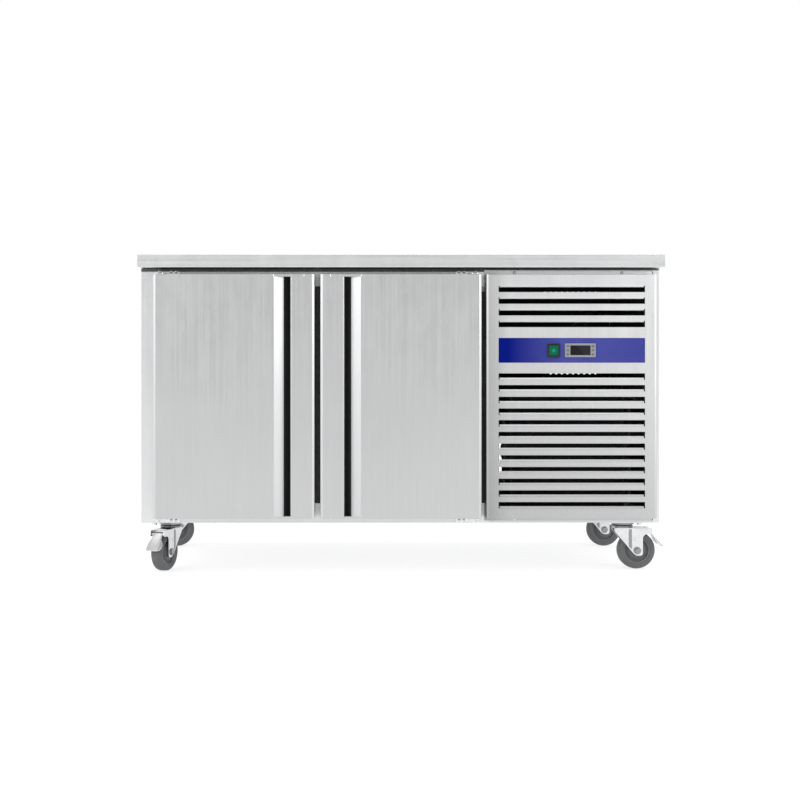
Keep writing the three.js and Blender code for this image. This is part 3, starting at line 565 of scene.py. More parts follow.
def cabinet():
    """Sheet-metal walls, the mullion's cover, the breaker strip and sealing block by the panel, and dark strips
    that paint the shade under the worktop and the shadow lines along the door and panel edges.
    """
    for node in ("side_wall_left", "back_wall", "partition_wall", "side_panel_right"):
        refined(node, steel_body, "cabinet", 0.9)
    # the floor and ceiling walls take the darker rail steel: painted shade
    for node in ("floor_wall", "ceiling_wall"):
        refined(node, steel_shaded_rail, "cabinet", 0.9)
    refined("header_rail", steel_body, "cabinet", 0.5)
    refined("base_tray", steel_inner, "cabinet", 0.4)
    refined("center_mullion", steel_inner, "cabinet", 0.8)
    low, high = box("mullion_cover")
    cover = [(low.x, low.y + 3), (low.x, low.y + 1.4), (low.x + 6, low.y), (high.x - 6, low.y),
             (high.x, low.y + 1.4),
             (high.x, low.y + 3)]
    make("mullion_trim", prism(rounded(cover, [0, 1.2, 2, 2, 1.2, 0]), "z", low.z, high.z), black, "cabinet",
         ["mullion_cover"])
    front = box("partition_wall")[0].y
    edge = box("door_right_skin")[1]
    strip = prism(rect(edge.x - 6, panel_low.x + 10, front - 1.6, front - 0.1, 0.5), "z", low.z, high.z - 13)
    make("breaker_strip_right", strip, black, "cabinet")
    block = prism(rect(edge.x + 0.5, panel_low.x - 0.5, front - 8, front - 0.1, 1.5), "z", high.z - 12.6,
                  high.z)
    make("sealing_block_right", block, bright, "cabinet")
    hinge_edge = box("door_left_skin")[0].x
    body_left, body_right = box("side_wall_left")[0].x, box("side_panel_right")[1].x
    head = Shape()
    # dark strips on the body front under the worktop: painted shade of the overhang
    for x0, x1, z in ((body_left + 1, panel_low.x, 788.5), (panel_low.x, body_right - 1, 792.6)):
        head.add(prism(rect(front - 5, front - 0.1, z, 795.6), "x", x0, x1))
    # thin dark beads beside the panel, at the left door's hinge edge and on the panel's top: painted shadow
    # lines in the gaps
    shade_lines = ((panel_high.x + 0.4, panel_high.x + 2.2, 136, 789, front - 0.1),
             (hinge_edge - 3, hinge_edge - 0.6, 147, 778, front - 0.1),
             (panel_low.x, panel_high.x, 778.7, 780.4, front - 2))
    for x0, x1, z0, z1, y in shade_lines:
        head.add(prism(rect(x0, x1, z0, z1), "y", y - 1, y))
    make("painted_shade_strips", head, shade_strips_look, "cabinet")


def shade_lining():
    """Black sheets that line the machine bay: painted shade that keeps the bay dark behind the louvres."""
    wall, wall_high = box("partition_wall")
    tray_high = box("base_tray")[1]
    rear_low, rear_high = box("rear_service_panel")
    left, right = wall_high.x + 0.4, tray_high.x - 0.1
    start = wall.y + 26
    thick = 3.0
    shape = Shape()
    for x in (left, right - thick):
        shape.add(plate([rect(start, rear_low.y - 0.3, tray_high.z + 2, rear_high.z - 2, 1)], thick, 0.2),
                  axes((0, 1, 0), (0, 0, 1), (1, 0, 0), (x, 0, 0)))
    shape.add(plate([rect(left + 4, right - 4, start, rear_low.y - 4, 4)], thick, 0.6),
              axes((1, 0, 0), (0, 1, 0), (0, 0, 1), (0, 0, rear_high.z - thick - 0.4)))
    shape.add(plate([rect(left + 4, right - 4, rear_low.z + 3, rear_high.z - 5, 4)] + rear_holes(), thick, 0.4),
              facing_front(rear_low.y - thick - 0.3))
    # the sheets take the black foam of the pipe insulation: painted shade
    make("bay_shade_sheets", shape, foam, "cabinet")


def rear_holes():
    """Outlines of the rear panel's round vents, slots and gland hole."""
    centre = middle("worktop").x
    gland = middle("cable_gland")
    holes = [circle(gland.x, gland.z, 8.8)]
    holes += [circle(centre + 474 + i * 17.2, z, 4, 16) for z in (764, 517) for i in range(10)]
    return holes + [rect(centre + 284 + 24 * i, centre + 292 + 24 * i, 200, 320, 3.9, 5) for i in range(14)]


def rear():
    """Rear service panel with rounded vents, its screws and the cable gland."""
    low, high = box("rear_service_panel")
    gland = middle("cable_gland")
    loops = [rect(low.x, high.x, low.z, high.z, 2)] + rear_holes()
    shape = Shape().add(plate(loops, high.y - low.y, 0.3), facing_front(low.y))
    make("rear_panel_sheet", shape, steel_body, "cabinet", ["rear_service_panel"])
    screws("rear_screws", [(x, high.y, z, "y") for x in (low.x + 9, (low.x + high.x) / 2, high.x - 9)
                           for z in (low.z + 9, high.z - 9)])
    base, top = box("cable_gland")
    ribs = [(0, 0), (8, 0), (8, 11.9), (13, 11.9), (13, 14.2), (12, 15)]
    for k in range(4):
        ribs += [(9.6 - k * 0.8, 15.2 + k * 0.9), (8.9 - k * 0.8, 15.4 + k * 0.9)]
    ribs += [(5, 19), (5, 14), (0, 14)]
    make("cable_gland_body", lathe(ribs, 28), black, "cabinet", ["cable_gland"],
         place=at(gland.x, base.y, gland.z, "y"))


# ---------------------------------------------------------------- machine-bay panel

SHEET = 1.5
SLOT_HEIGHT, SLOT_PITCH = 16.6, 30.2
# Height of a group's first slot, how many slots it has, and how far a flap rises or falls.
SLOT_GROUPS = ((749, 4, -4.5), (522.5, 12, 6.0))
SCREW_REACH = 141


def control_windows():
    """Openings in the panel and the film for the rocker switch and the controller."""
    rocker, controller = middle("rocker_bezel"), middle("controller")
    return [rect(rocker.x - 13.6, rocker.x + 13.6, rocker.z - 16.4, rocker.z + 16.4),
            rect(controller.x - 35.5, controller.x + 35.5, controller.z - 14.5, controller.z + 14.5)]


def lanced_flap(edge, fall, front, x0, x1):
    """A flap lanced out of the sheet at its edge, curving inwards and up or down."""
    way = 1 if fall > 0 else -1
    outer = [(front + 3.6 * t ** 1.3, edge - way * 0.8 * (1 - t) + fall * t ** 0.9)
             for t in (k / 8 for k in range(9))]
    inner = [(y + 0.9, z - way * 0.9) for y, z in outer]
    return prism(outer + inner[::-1], "x", x0, x1)


def louvred_panel():
    """Folded panel with two groups of lanced louvres and notched screw flanges."""
    low, high = box("louvred_panel")
    front, back = low.y, high.y
    bottom, top = low.z + 11, high.z - 11
    strip_low, strip_high = box("control_strip")
    left, right = strip_low.x, strip_high.x
    centre = (low.x + high.x) / 2
    slots = [(top_slot - i * SLOT_PITCH, fall) for top_slot, count, fall in SLOT_GROUPS for i in range(count)]
    loops = [rect(low.x + 5.4, high.x - 5.4, bottom + 2, top - 2)]
    flaps = Shape()
    for z, fall in slots:
        loops.append(rect(left, right, z - SLOT_HEIGHT, z, 1.0, 2))
        edge = z + 0.6 if fall < 0 else z - SLOT_HEIGHT - 0.6
        flaps.add(lanced_flap(edge, fall, front + 0.05, left + 2.6, right - 2.6))
    shape = Shape().add(plate(loops + control_windows(), SHEET, 0.25), facing_front(front))
    include(shape, flaps)
    for x, way in ((low.x, 1), (high.x, -1)):
        wall = [(x + way * 5.5, front), (x + way * 4.6, front + 0.3), (x + way * 0.9, front + 2.4),
                (x, front + 4),
                (x, back), (x + way * SHEET, back), (x + way * SHEET, front + 4),
                (x + way * 5.5, front + SHEET)]
        shape.add(prism(wall, "z", bottom, top))
    for z, way in ((bottom, 1), (top, -1)):
        wall = [(front, z + way * 2.1), (front + 0.3, z + way * 1.0), (front + 1.0, z + way * 0.3),
                (front + 2.1, z),
                (back - SHEET, z), (back - SHEET, z + way * SHEET), (front + 2.4, z + way * SHEET),
                (front + SHEET, z + way * 2.4)]
        shape.add(prism(wall, "x", low.x + 4.5, high.x - 4.5))
        end = z - way * 11
        notch = []
        for x in (centre - SCREW_REACH, centre + SCREW_REACH):
            notch += [(x - 3, end), (x - 3, end + way * 6), (x + 3, end + way * 6), (x + 3, end)]
        loop = [(low.x, z + way * SHEET), (low.x, end)] + notch + [(high.x, end), (high.x, z + way * SHEET)]
        flange = rounded(loop, [0, 3] + [0, 2.6, 2.6, 0] * 2 + [3, 0])
        shape.add(plate([flange], SHEET, 0.25), facing_front(back - SHEET))
    make("louvred_panel_sheet", shape, steel_panel, "cabinet", ["louvred_panel"])
    screws("panel_screws", [(x, back - SHEET, z, "-y") for x in (centre - SCREW_REACH, centre + SCREW_REACH)
                            for z in (low.z + 4.5, high.z - 4.5)], 4.2, 2.6)


def controls():
    """Blue strip, controller with display and keys, and the lit rocker switch."""
    low, high = box("control_strip")
    rocker, controller = middle("rocker_bezel"), middle("controller")
    film = plate([rect(low.x, high.x, low.z, high.z, 1.5)] + control_windows(), high.y - low.y, 0.15)
    make("control_strip_film", Shape().add(film, facing_front(low.y)), blue, "cabinet",
         ["control_strip"])

    a, b = box("controller")
    face, back = a.y, low.y - 0.3
    window = (controller.x - 26, controller.x + 26, controller.z - 12.6, controller.z + 12.6)
    rows = drawn((a.x, b.x, a.z, b.z), [(0, 3, back), (0, 3, face + 1.2), (0.5, 3, face + 0.3),
                                        (1.4, 2.6, face)])
    rows += drawn(window, [(-0.7, 1.4, face), (0, 1, face + 0.5), (0, 1, face + 1.6)])
    housing = Shape().add(loft(frames("y", rows)))
    rows = drawn((a.x + 5, b.x - 5, a.z + 4, b.z - 4), [(0, 1, back - 0.2), (0, 1, b.y)])
    housing.add(loft(frames("y", rows)))
    make("controller_housing", housing, grey, "cabinet", ["controller"])
    rows = drawn(window, [(0, 0.8, face + 1.5), (0, 0.8, face + 1.0), (0.8, 0.6, face + 0.7)])
    make("controller_display", loft(frames("y", rows)), screen, "cabinet")
    for i in range(1, 7):
        p, q = box(f"button_{i}")
        rows = drawn((p.x, q.x, p.z, q.z), [(0, 1.1, q.y), (0, 1.1, p.y + 0.45), (0.35, 1.0, p.y + 0.08),
                                            (0.9, 0.8, p.y)])
        rows.append((p.x + 1.5, q.x - 1.5, p.z + 1.3, q.z - 1.3, 0.6, p.y + 0.25))
        make(f"key_cap_{i}", loft(frames("y", rows)), keys, f"key_{i}", [f"button_{i}"])

    p, q = box("rocker_bezel")
    mouth = (rocker.x - 13.3, rocker.x + 13.3, rocker.z - 14.6, rocker.z + 14.6)
    socket = (rocker.x - 13.4, rocker.x + 13.4, rocker.z - 16.2, rocker.z + 16.2)
    rows = drawn((p.x, q.x, p.z, q.z), [(0, 2.5, back), (0, 2.5, p.y + 1.4), (1.2, 2.2, p.y)])
    rows += drawn(mouth, [(-0.8, 1.6, p.y + 0.1), (0, 1.2, p.y + 1.2), (0, 1.2, back + 7.8)])
    bezel = Shape().add(loft(frames("y", rows)))
    bezel.add(loft(frames("y", drawn(socket, [(0, 1, back + 7.9), (0, 1, q.y)]))))
    make("rocker_frame", bezel, black, "cabinet", ["rocker_bezel"])
    tilt = math.radians(9)
    section = []
    for k in range(13):
        z = 13 - 26 * k / 12
        section.append((-4.4 + 1.0 * math.cos(math.pi * z / 26), z))
    section += [(1.5, -13), (4.4, -5), (5.3, 0), (4.4, 5), (1.5, 13)]
    turned = [(y * math.cos(tilt) - z * math.sin(tilt), y * math.sin(tilt) + z * math.cos(tilt)) for y,
              z in section]
    paddle = prism([(y + back, z + rocker.z) for y, z in turned], "x", rocker.x - 12.5, rocker.x + 12.5)
    make("rocker_paddle", paddle, green, "rocker", ["rocker_switch"], smooth=30, bevel=0.6)


# ---------------------------------------------------------------- doors

DOOR_WIDTH = 417
HINGE_EDGE = [(0, 39), (0, 5), (0.3, 4), (1.1, 3.1), (5.4, 0.5), (7, 0)]
FREE_EDGE = [(410, 0), (411.6, 0.5), (415.9, 3.1), (416.7, 4), (DOOR_WIDTH, 5), (DOOR_WIDTH, 39)]
PIN = (16, 20)


def door_section():
    """Door seen from above: u from the hinge edge, v from the front face."""
    turns = [math.radians(90 * t / 6) for t in range(7)]
    slope = [(312 + 25 * t, 12.4 * t * (1 - t) + 14 * t * t) for t in (k / 12 for k in range(13))]
    points = HINGE_EDGE + slope + [(340, 21.5), (349.5, 35.2), (352, 36.6), (355, 37), (382, 37), (385, 36),
                                   (386, 33), (386, 8), (357.6, 8),
                                   (355.7, 7.3), (355, 5.6)]
    return points + [(358 - 3 * math.cos(a), 3 - 3 * math.sin(a)) for a in turns] + FREE_EDGE


def closed_section():
    """The same section where the groove is closed off at a door's end."""
    return HINGE_EDGE + [(310, 0), (312, 1), (389, 1), (391, 0)] + FREE_EDGE


def door(side_name, way):
    """One door with its skin, a dark sheet painted as the shade in its groove, liner and gasket, and the two
    brackets it hangs on.
    """
    skin_low, skin_high = box(f"door_{side_name}_skin")
    edge = skin_low.x if way > 0 else skin_high.x
    front, bottom, top = skin_low.y, skin_low.z, skin_high.z
    body = f"door_{side_name}"

    def local(points):
        return [(edge + way * u, front + v) for u, v in points]

    cap = 6
    skin = Shape().add(prism(local(door_section()), "z", bottom + cap, top - cap))
    skin.add(prism(local(closed_section()), "z", bottom, bottom + cap))
    skin.add(prism(local(closed_section()), "z", top - cap, top))
    make(f"{body}_shell", skin, steel_door, body, [f"{body}_skin"], smooth=22)
    # dark sheet laid over the groove's floor, steep wall and pocket: painted shade
    shade_lining = [(337.7, 15.2), (340.4, 21.6), (349.7, 34.8), (352.1, 36.2), (355, 36.6), (381.8, 36.6),
              (384.6, 35.7),
              (385.6, 32.8), (385.6, 8.4), (385.2, 8.4), (385.2, 32.6), (384.3, 35.3), (381.7, 36.2),
              (355.1, 36.2),
              (352.3, 35.8), (350, 34.5), (340.8, 21.4), (338.1, 15)]
    make(f"{body}_groove_shade_sheet", prism(local(shade_lining), "z", bottom + cap + 0.2, top - cap - 0.2), groove_shade, body)

    low, high = box(f"{body}_liner")
    span = sorted((edge + way * 35.5, edge + way * (DOOR_WIDTH - 27.5)))
    step = low.y + 5.4
    rings = drawn((low.x, high.x, low.z, high.z), [(0, 2, low.y), (0, 2, step - 0.8), (0.8, 2, step)])
    rings += drawn((*span, bottom + 27.5, top - 27.5), [
        (0, 12, step), (0.8, 12, step + 1.2), (4.5, 10, high.y - 1.4), (6.5, 9, high.y - 0.2), (8, 8, high.y),
        (60, 8, high.y), (62, 8, high.y - 0.9), (66, 8, high.y - 0.9)])
    make(f"{body}_inner", loft(frames("y", rings, 6)), steel_inner, body, [f"{body}_liner"])

    low, high = box(f"{body}_gasket")
    deep = high.y - low.y
    section = [(0, 0), (0, 3), (1.6, 4.6), (0.4, 6.4), (1.4, deep - 0.6), (3, deep), (11, deep),
               (12.6, deep - 0.6),
               (13.6, 6.4), (12.4, 4.6), (14, 3), (14, 0)]
    rings = drawn((low.x, high.x, low.z, high.z), [(i, 1.5, low.y + y) for i, y in section])
    make(f"{body}_seal", loft(frames("y", rings, 3), closed=True), seal, body,
         [f"{body}_gasket"])

    for end in ("top", "bottom"):
        node = f"hinge_{end}_{side_name}"
        low, high = box(node)
        up = 1 if end == "top" else -1
        base = top + 1.3 if up > 0 else bottom - 1.3
        span = sorted((edge + way * 1, edge + way * 63))
        zs = sorted((base, base + up * 13.5))
        bracket = Shape().add(plate([rect(span[0], span[1], zs[0], zs[1], 2.5)], 3, 0.3),
                              facing_front(high.y - 3))
        arm = rounded([(edge + way * 2, high.y), (edge + way * 2, front + 16), (edge + way * 9, front + 10),
                       (edge + way * 23, front + 10), (edge + way * 34, front + 22), (edge + way * 34, high.y)],
                      [0, 6, 6, 6, 8, 0])
        flat = sorted((base, base + up * 3.2))
        bracket.add(plate([arm], 3.2, 0.4), Matrix.Translation((0, 0, flat[0])))
        axis = "-z" if up > 0 else "z"
        pin = lathe([(0, -4.4), (5, -4.4), (6.2, -3.4), (6.2, 0), (4, 0.2), (4, 13.6), (3.2, 14.9), (0, 14.9)],
                    24)
        bracket.add(pin, at(edge + way * PIN[0], front + PIN[1], base, axis))
        make(f"{node}_bracket", bracket, zinc, "cabinet", [node])
        screws(f"{node}_screws", [(edge + way * u, high.y - 3, base + up * 8.3, "-y") for u in (10, 41, 54)],
               4.3, 2.6)


# ---------------------------------------------------------------- castors

def castor(name, braked):
    """Mounting plate and race, pressed fork, wheel and, in front, the brake pedal."""
    plate_low, plate_high = box(f"castor_plate_{name}")
    hub_centre = middle(f"castor_wheel_{name}")
    x, y = (plate_low.x + plate_high.x) / 2, (plate_low.y + plate_high.y) / 2
    heading = math.atan2(hub_centre.y - y, hub_centre.x - x)
    place = Matrix.Translation((x, y, 0)) @ Matrix.Rotation(heading, 4, "Z")
    swivel, trail, level = f"swivel_{name}", 36.0, 50.0
    top = plate_high.z

    bolts = [(39 * sx, 31 * sy) for sx in (-1, 1) for sy in (-1, 1)]
    corners = [rect(u - 6, u + 6, v - 4, v + 4, 3.8) for u, v in bolts]
    mount = Shape().add(plate([rect(-50, 50, -42, 42, 9)] + corners, 4, 0.4),
                        Matrix.Translation((0, 0, top - 4)))
    race = lathe([(0, top - 4.1), (33, top - 4.1), (32.4, top - 6), (31.5, top - 7.5), (31.2, top - 9.6),
                  (29, top - 11), (26.5, top - 11.2), (0, top - 11.2)], 36)
    make(f"castor_race_{name}", race, dark_zinc, "cabinet", place=Matrix.Translation((x, y, 0)))
    for u, v in bolts:
        include(mount, hex_head(6.2, 5.6), at(u, v, top - 4, "-z"))
    make(f"castor_mount_{name}", mount, zinc, "cabinet", [f"castor_plate_{name}"],
         place=Matrix.Translation((x, y, 0)))

    fork = Shape()
    outer, inner = 21.2, 18.7
    crown = rounded([(-24, -outer), (56, -outer), (56, outer), (-24, outer)], [12, 4, 4, 12])
    fork.add(plate([crown], 2.5, 0.5), Matrix.Translation((0, 0, 108)))
    collar = lathe([(0, 110), (24, 110), (27.5, 111.4), (29.2, 113.2), (28.2, 115), (26.5, 115.6), (27.4, 117),
                    (26, 118.2), (0, 118.2)], 36)
    make(f"castor_collar_{name}", collar, dark_zinc, swivel, place=place)
    fork.add(lathe([(0, 108.4), (7, 108.4), (7, 104.6), (5.6, 103.4), (0, 103.4)], 6))
    leg = rounded([(-24, 109.5), (-24, 101.5), (26, 42), (34, 36), (51.5, 36), (51.5, 86), (59, 93.5),
                   (77, 93.5),
                   (77, 109.5)], [3, 5, 6, 9, 12, 8, 8, 4, 5])
    fold = rounded([(13.5, 106.5), (22, 106.5), (22, 52), (13.5, 62)], [1, 1, 3, 3])
    stamp = rect(25.5, 33.5, 76, 84, 1.6)
    folds = Shape()
    for y0, face, way in ((-outer, -outer, "-y"), (inner, outer, "y")):
        fork.add(plate([leg, circle(trail, level, 5.2)], 2.5, 0.5), facing_front(y0))
        lift = -0.9 if way == "-y" else 0.0
        fork.add(plate([stamp], 0.9, 0.35), facing_front(face + lift))
        folds.add(plate([fold], 0.8, 0.3), facing_front(face + lift))
        include(folds, hex_head(7.6, 5.4), at(trail, face, level, way))
    fork.add(lathe([(0, -20), (5, -20), (5, 20), (0, 20)], 16), at(trail, 0, level, "y"))
    make(f"castor_fork_{name}_pressed", fork, zinc, swivel, [f"castor_fork_{name}"], place=place)
    make(f"castor_folds_{name}", folds, dark_zinc, swivel, place=place)
    tyre = [(34, -13), (36, -15.2), (38, -16), (43, -16), (43.6, -15.4), (45.2, -15.4), (46.4, -14.6),
            (48.6, -12),
            (49.7, -8.5), (50, -4), (50, 4), (49.7, 8.5), (48.6, 12), (46.4, 14.6), (45.2, 15.4), (43.6, 15.4),
            (43, 16), (38, 16), (36, 15.2), (34, 13)]
    spin = place @ at(trail, 0, level, "y")
    make(f"castor_tyre_{name}", lathe(tyre, 64, closed=True), rubber, f"wheel_{name}",
         [f"castor_wheel_{name}"], place=spin)
    half = [(6.4, 17), (12.5, 17), (14, 16), (14.6, 13), (21, 12.4), (23.2, 11.4), (24.2, 8.4), (26, 7.6),
            (30, 7.8), (31.6, 9.4), (32, 12)]
    hub = lathe([(r, -h) for r, h in half] + half[::-1], 48, closed=True)
    make(f"castor_hub_{name}", hub, hub_plastic, f"wheel_{name}", place=spin)
    ridge = [(31.8, 11.6), (32.4, 13.6), (33.4, 14.2), (34.4, 13.6)]
    rim = lathe([(r, -h) for r, h in ridge] + ridge[::-1], 64, closed=True)
    make(f"castor_rim_{name}", rim, rim_plastic, f"wheel_{name}", place=spin)
    if braked:
        pedal(name, place)


def pedal(name, place):
    """Brake lever: barrel, shoe holder and a leaf-shaped tread plate."""
    px, pz, slope = 68.0, 99.0, math.radians(42)
    run, rise = Vector((math.sin(slope), 0, -math.cos(slope))), Vector((math.cos(slope), 0, math.sin(slope)))
    start = Vector((70.6, 0, pz + 3)) - rise * 1.25
    half_widths = [(0, 14.5), (5, 13.6), (14, 13.8), (20, 16), (26, 19.8), (32, 21.8), (41, 22), (49, 20.5),
                   (53.5, 17),
                   (56, 11)]
    rings = []
    for along_it, half in half_widths:
        sag = 1.6 * math.sin(math.pi * along_it / 56)
        base = start + run * along_it - rise * sag
        ring = []
        for k in range(9):
            side = half * (k / 4 - 1)
            ring.append(base + Vector((0, side, 0)) - rise * (5.5 * (side / 22) ** 4))
        ring += [point + rise * 2.3 for point in ring[::-1]]
        rings.append(ring)
    lever = Shape().add(loft(rings))
    lever.add(lathe([(0, -18.2), (4.2, -18.2), (4.2, 18.2), (0, 18.2)], 20), at(px, 0, pz, "y"))
    make(f"brake_lever_{name}", lever, tread_zinc, f"brake_{name}", [f"brake_pedal_{name}"],
         bevel=0.5,
         place=place)
    shoe = rounded([(56.5, 98.4), (64, 97.6), (69, 101.5), (66, 104.6), (57.5, 103.4)], 1.2, 3)
    make(f"brake_shoe_{name}", prism(shoe, "y", -16, 16), black, f"brake_{name}", place=place)


# ---------------------------------------------------------------- refrigeration unit

def blades(hub, radius, count, depth, root_pitch, tip_pitch):
    """Rotor about Z: hub with a rounded nose and curved blades."""
    shape = Shape().add(lathe([(0, -depth / 2), (hub * 0.8, -depth / 2), (hub, -depth / 2 + 3),
                               (hub, depth / 2 - 2),
                               (hub * 0.9, depth / 2), (0, depth / 2)], 32))
    for b in range(count):
        rings = []
        for k in range(9):
            t = k / 8
            r = hub - 2 + (radius - hub + 2) * t
            pitch = math.radians(root_pitch + (tip_pitch - root_pitch) * t)
            chord = (depth - 3) / math.sin(pitch) * (0.92 - 0.18 * t * t)
            upper, lower = [], []
            for i in range(7):
                s = i / 6 - 0.5
                turn = (s * chord * math.cos(pitch) - chord * 0.12 * t) / max(r, 1)
                height = s * chord * math.sin(pitch) + 1.6 * (0.25 - s * s)
                thick = 0.7 * (1.25 - 2 * abs(s)) + 0.3
                turn += 2 * math.pi * b / count
                upper.append((r * math.cos(turn), r * math.sin(turn), height + thick))
                lower.append((r * math.cos(turn), r * math.sin(turn), height - thick))
            rings.append(upper + lower[::-1])
        shape.add(loft(rings))
    return shape


def guard(radii, spokes, reach, thick=1.4):
    """Wire guard about Z: rings and spokes."""
    shape = Shape()
    for r in radii:
        shape.add(tube([(px, py, 0) for px, py in circle(0, 0, r, 40)], thick, 6, loop=True))
    for k in range(spokes):
        a = 2 * math.pi * (k + 0.5) / spokes
        c, s = math.cos(a), math.sin(a)
        shape.add(tube([(radii[0] * c, radii[0] * s, 1.6), (reach * c, reach * s, 1.6)], thick, 6))
    return shape


def condenser():
    """Finned coil with its return bends."""
    low, high = box("condenser_coil")
    fins = Shape()
    pitch = 4.0
    count = int((high.x - low.x - 12) / pitch)
    for i in range(count + 1):
        x = low.x + 6 + i * pitch
        fins.add(prism(rect(low.y + 2, high.y - 2, low.z + 2, high.z - 2), "x", x - 0.25, x + 0.25))
    for x in (low.x + 1, high.x - 2.5):
        fins.add(prism(rect(low.y, high.y, low.z, high.z, 2), "x", x, x + 1.5))
    make("condenser_fins", fins, fins_black_shade, "cabinet", ["condenser_coil"])
    pipes = Shape()
    rows = [low.z + 24 + i * 36 for i in range(8)]
    for y in (low.y + 16, high.y - 16):
        for z in rows:
            pipes.add(tube([(low.x - 2, y, z), (high.x + 2, y, z)], 4.8, 10))
        for i in range(7):
            x, way = ((high.x, 1), (low.x, -1))[i % 2]
            pipes.add(tube(bent([(x, y, rows[i]), (x + way * 16, y, rows[i]), (x + way * 16, y, rows[i + 1]),
                                 (x, y, rows[i + 1])], 14), 4.8, 10))
    # the tubes are black so the bay behind the louvres stays dark: painted shade
    make("condenser_tubes", pipes, paint, "cabinet")


def shroud():
    """Fan shroud with its motor, guard and fan."""
    low, high = box("fan_shroud")
    x, z = (low.x + high.x) / 2, (low.z + high.z) / 2
    face = low.y
    back = face + 36
    shape = Shape().add(plate([rect(low.x, high.x, low.z, high.z, 4), circle(x, z, 123, 48)], 1.5, 0.3),
                        facing_front(back - 1.5))
    shape.add(lathe([(123, 0), (124.5, 0), (124.5, 30), (128, 35), (132, 36), (132, 34.6), (127.5, 33.8),
                     (123, 29)], 56,
                    closed=True), at(x, face, z, "y"))
    for a, b in ((low.x, low.x + 1.5), (high.x - 1.5, high.x)):
        shape.add(prism(rect(face, back, low.z, high.z), "x", a, b))
    for a, b in ((low.z, low.z + 1.5), (high.z - 1.5, high.z)):
        shape.add(prism(rect(low.x, high.x, a, b), "y", face, back))
    for dx in (-28, 28):
        shape.add(prism(rect(x + dx - 5, x + dx + 5, back - 5, back - 2, 1), "z", z - 130, z + 130))
    motor = [(0, 0), (30, 0), (34, 2), (36, 6)]
    for k in range(6):
        motor += [(36, 9 + 5 * k), (34.4, 10 + 5 * k), (34.4, 12 + 5 * k), (36, 13 + 5 * k)]
    motor += [(36, 44), (33, 49), (12, 51.5), (0, 51.5)]
    shape.add(lathe(motor, 40), at(x, back - 5, z, "y"))
    make("fan_shroud_pressed", shape, paint, "cabinet", ["fan_shroud"])
    make("condenser_fan_guard", guard([44, 58, 72, 86, 100, 114, 128], 8, 128), fastener, "cabinet",
         place=at(x, back + 3, z, "y"))
    fan = middle("condenser_fan")
    make("condenser_fan_blades", blades(26, 113, 5, 21, 30, 20), aluminium, "condenser_rotor",
         ["condenser_fan"], place=at(fan.x, fan.y, fan.z, "y"))


def compressor():
    """Hermetic compressor on rubber feet, with the pipes and leads of the machine bay."""
    low, high = box("compressor")
    x, y = (low.x + high.x) / 2, (low.y + high.y) / 2
    z = low.z
    shell = [(0, 20), (56, 20), (68, 25), (76, 36), (79, 52), (79.5, 88), (80.4, 90), (83, 90.6), (83, 94),
             (80.4, 95),
             (79, 97), (79, 122), (76, 140), (69, 157), (56, 170), (38, 179), (18, 183), (0, 184)]
    shape = Shape().add(lathe(shell, 56), at(x, y, z))
    feet = [(76 * sx, 46 * sy) for sx in (-1, 1) for sy in (-1, 1)]
    foot = [rect(-90, 90, -60, 60, 14)] + [circle(u, v, 8, 20) for u, v in feet]
    shape.add(plate(foot, 3, 0.5), at(x, y, z + 18))
    shape.add(prism(rounded([(x - 30, y - 93), (x + 30, y - 93), (x + 34, y - 70), (x - 34, y - 70)], 5), "z",
                    z + 60,
                    z + 120))
    make("compressor_shell", shape, paint, "cabinet", ["compressor"], bevel=0.8)
    grommets = Shape()
    for u, v in feet:
        grommets.add(lathe([(0, 0), (11, 0), (12, 3), (12, 14), (8, 16), (8, 21.6), (12, 22), (12, 26), (9, 28),
                            (0, 28)], 24), at(x + u, y + v, z))
    make("compressor_grommets", grommets, rubber, "cabinet")
    coil_low, coil_high = box("condenser_coil")
    wall_high = box("partition_wall")[1]
    pipes = Shape()
    right = coil_high.x + 50
    left = coil_low.x + 20
    pipes.add(tube(bent([(x + 70, y, z + 110), (right, y, z + 110), (right, y, 456), (right, -242, 456),
                         (coil_high.x + 14, -242, 441), (coil_high.x, -228, 441)], 18), 4, 10))
    pipes.add(tube(bent([(coil_high.x, -256, 189), (coil_high.x + 30, -256, 189), (right, -200, 189),
                         (right, 0, 189),
                         (right, 0, 240)], 18), 4, 10))
    pipes.add(tube(bent([(right, 0, 330), (right, 0, 520), (right, 200, 560), (left, 260, 600),
                         (wall_high.x - 1, 260, 600)], 24), 1.6, 8))
    make("refrigerant_pipes", pipes, copper, "cabinet")
    drier = lathe([(0, 0), (4.5, 0), (5, 14), (11, 22), (12, 26), (12, 78), (11, 82), (4, 92), (3.4, 104),
                   (0, 104)], 28)
    make("filter_drier", drier, copper, "cabinet", place=at(right, 0, 232))
    suction = tube(bent([(x - 66, y + 20, z + 120), (x - 92, y + 20, z + 130), (x - 92, y + 20, 520),
                         (left + 20, 200, 548),
                         (wall_high.x - 1, 200, 548)], 30), 9, 14)
    make("suction_insulation", suction, foam, "cabinet")
    leads = Shape()
    gland = middle("cable_gland")
    for dx, start in ((0, middle("controller").x), (4, middle("rocker_bezel").x)):
        leads.add(tube(bent([(start, -296, 582), (start, -262, 600), (coil_high.x - 70 + dx, -200, 690 + dx),
                             (gland.x + dx, 0, 712),
                             (gland.x, gland.y - 14, gland.z)], 30), 2.6, 8))
    make("control_leads", leads, black, "cabinet")


def tray():
    """Pan that collects and evaporates the condensate."""
    low, high = box("condensate_tray")
    rings = drawn((low.x, high.x, low.y, high.y), [
        (0, 10, low.z), (0, 10, high.z - 1), (1.4, 9, high.z), (3, 8, high.z - 1), (3, 8, low.z + 4.5),
        (5, 7, low.z + 3)])
    make("condensate_pan", loft(frames("z", rings, 6)), grey, "cabinet", ["condensate_tray"])


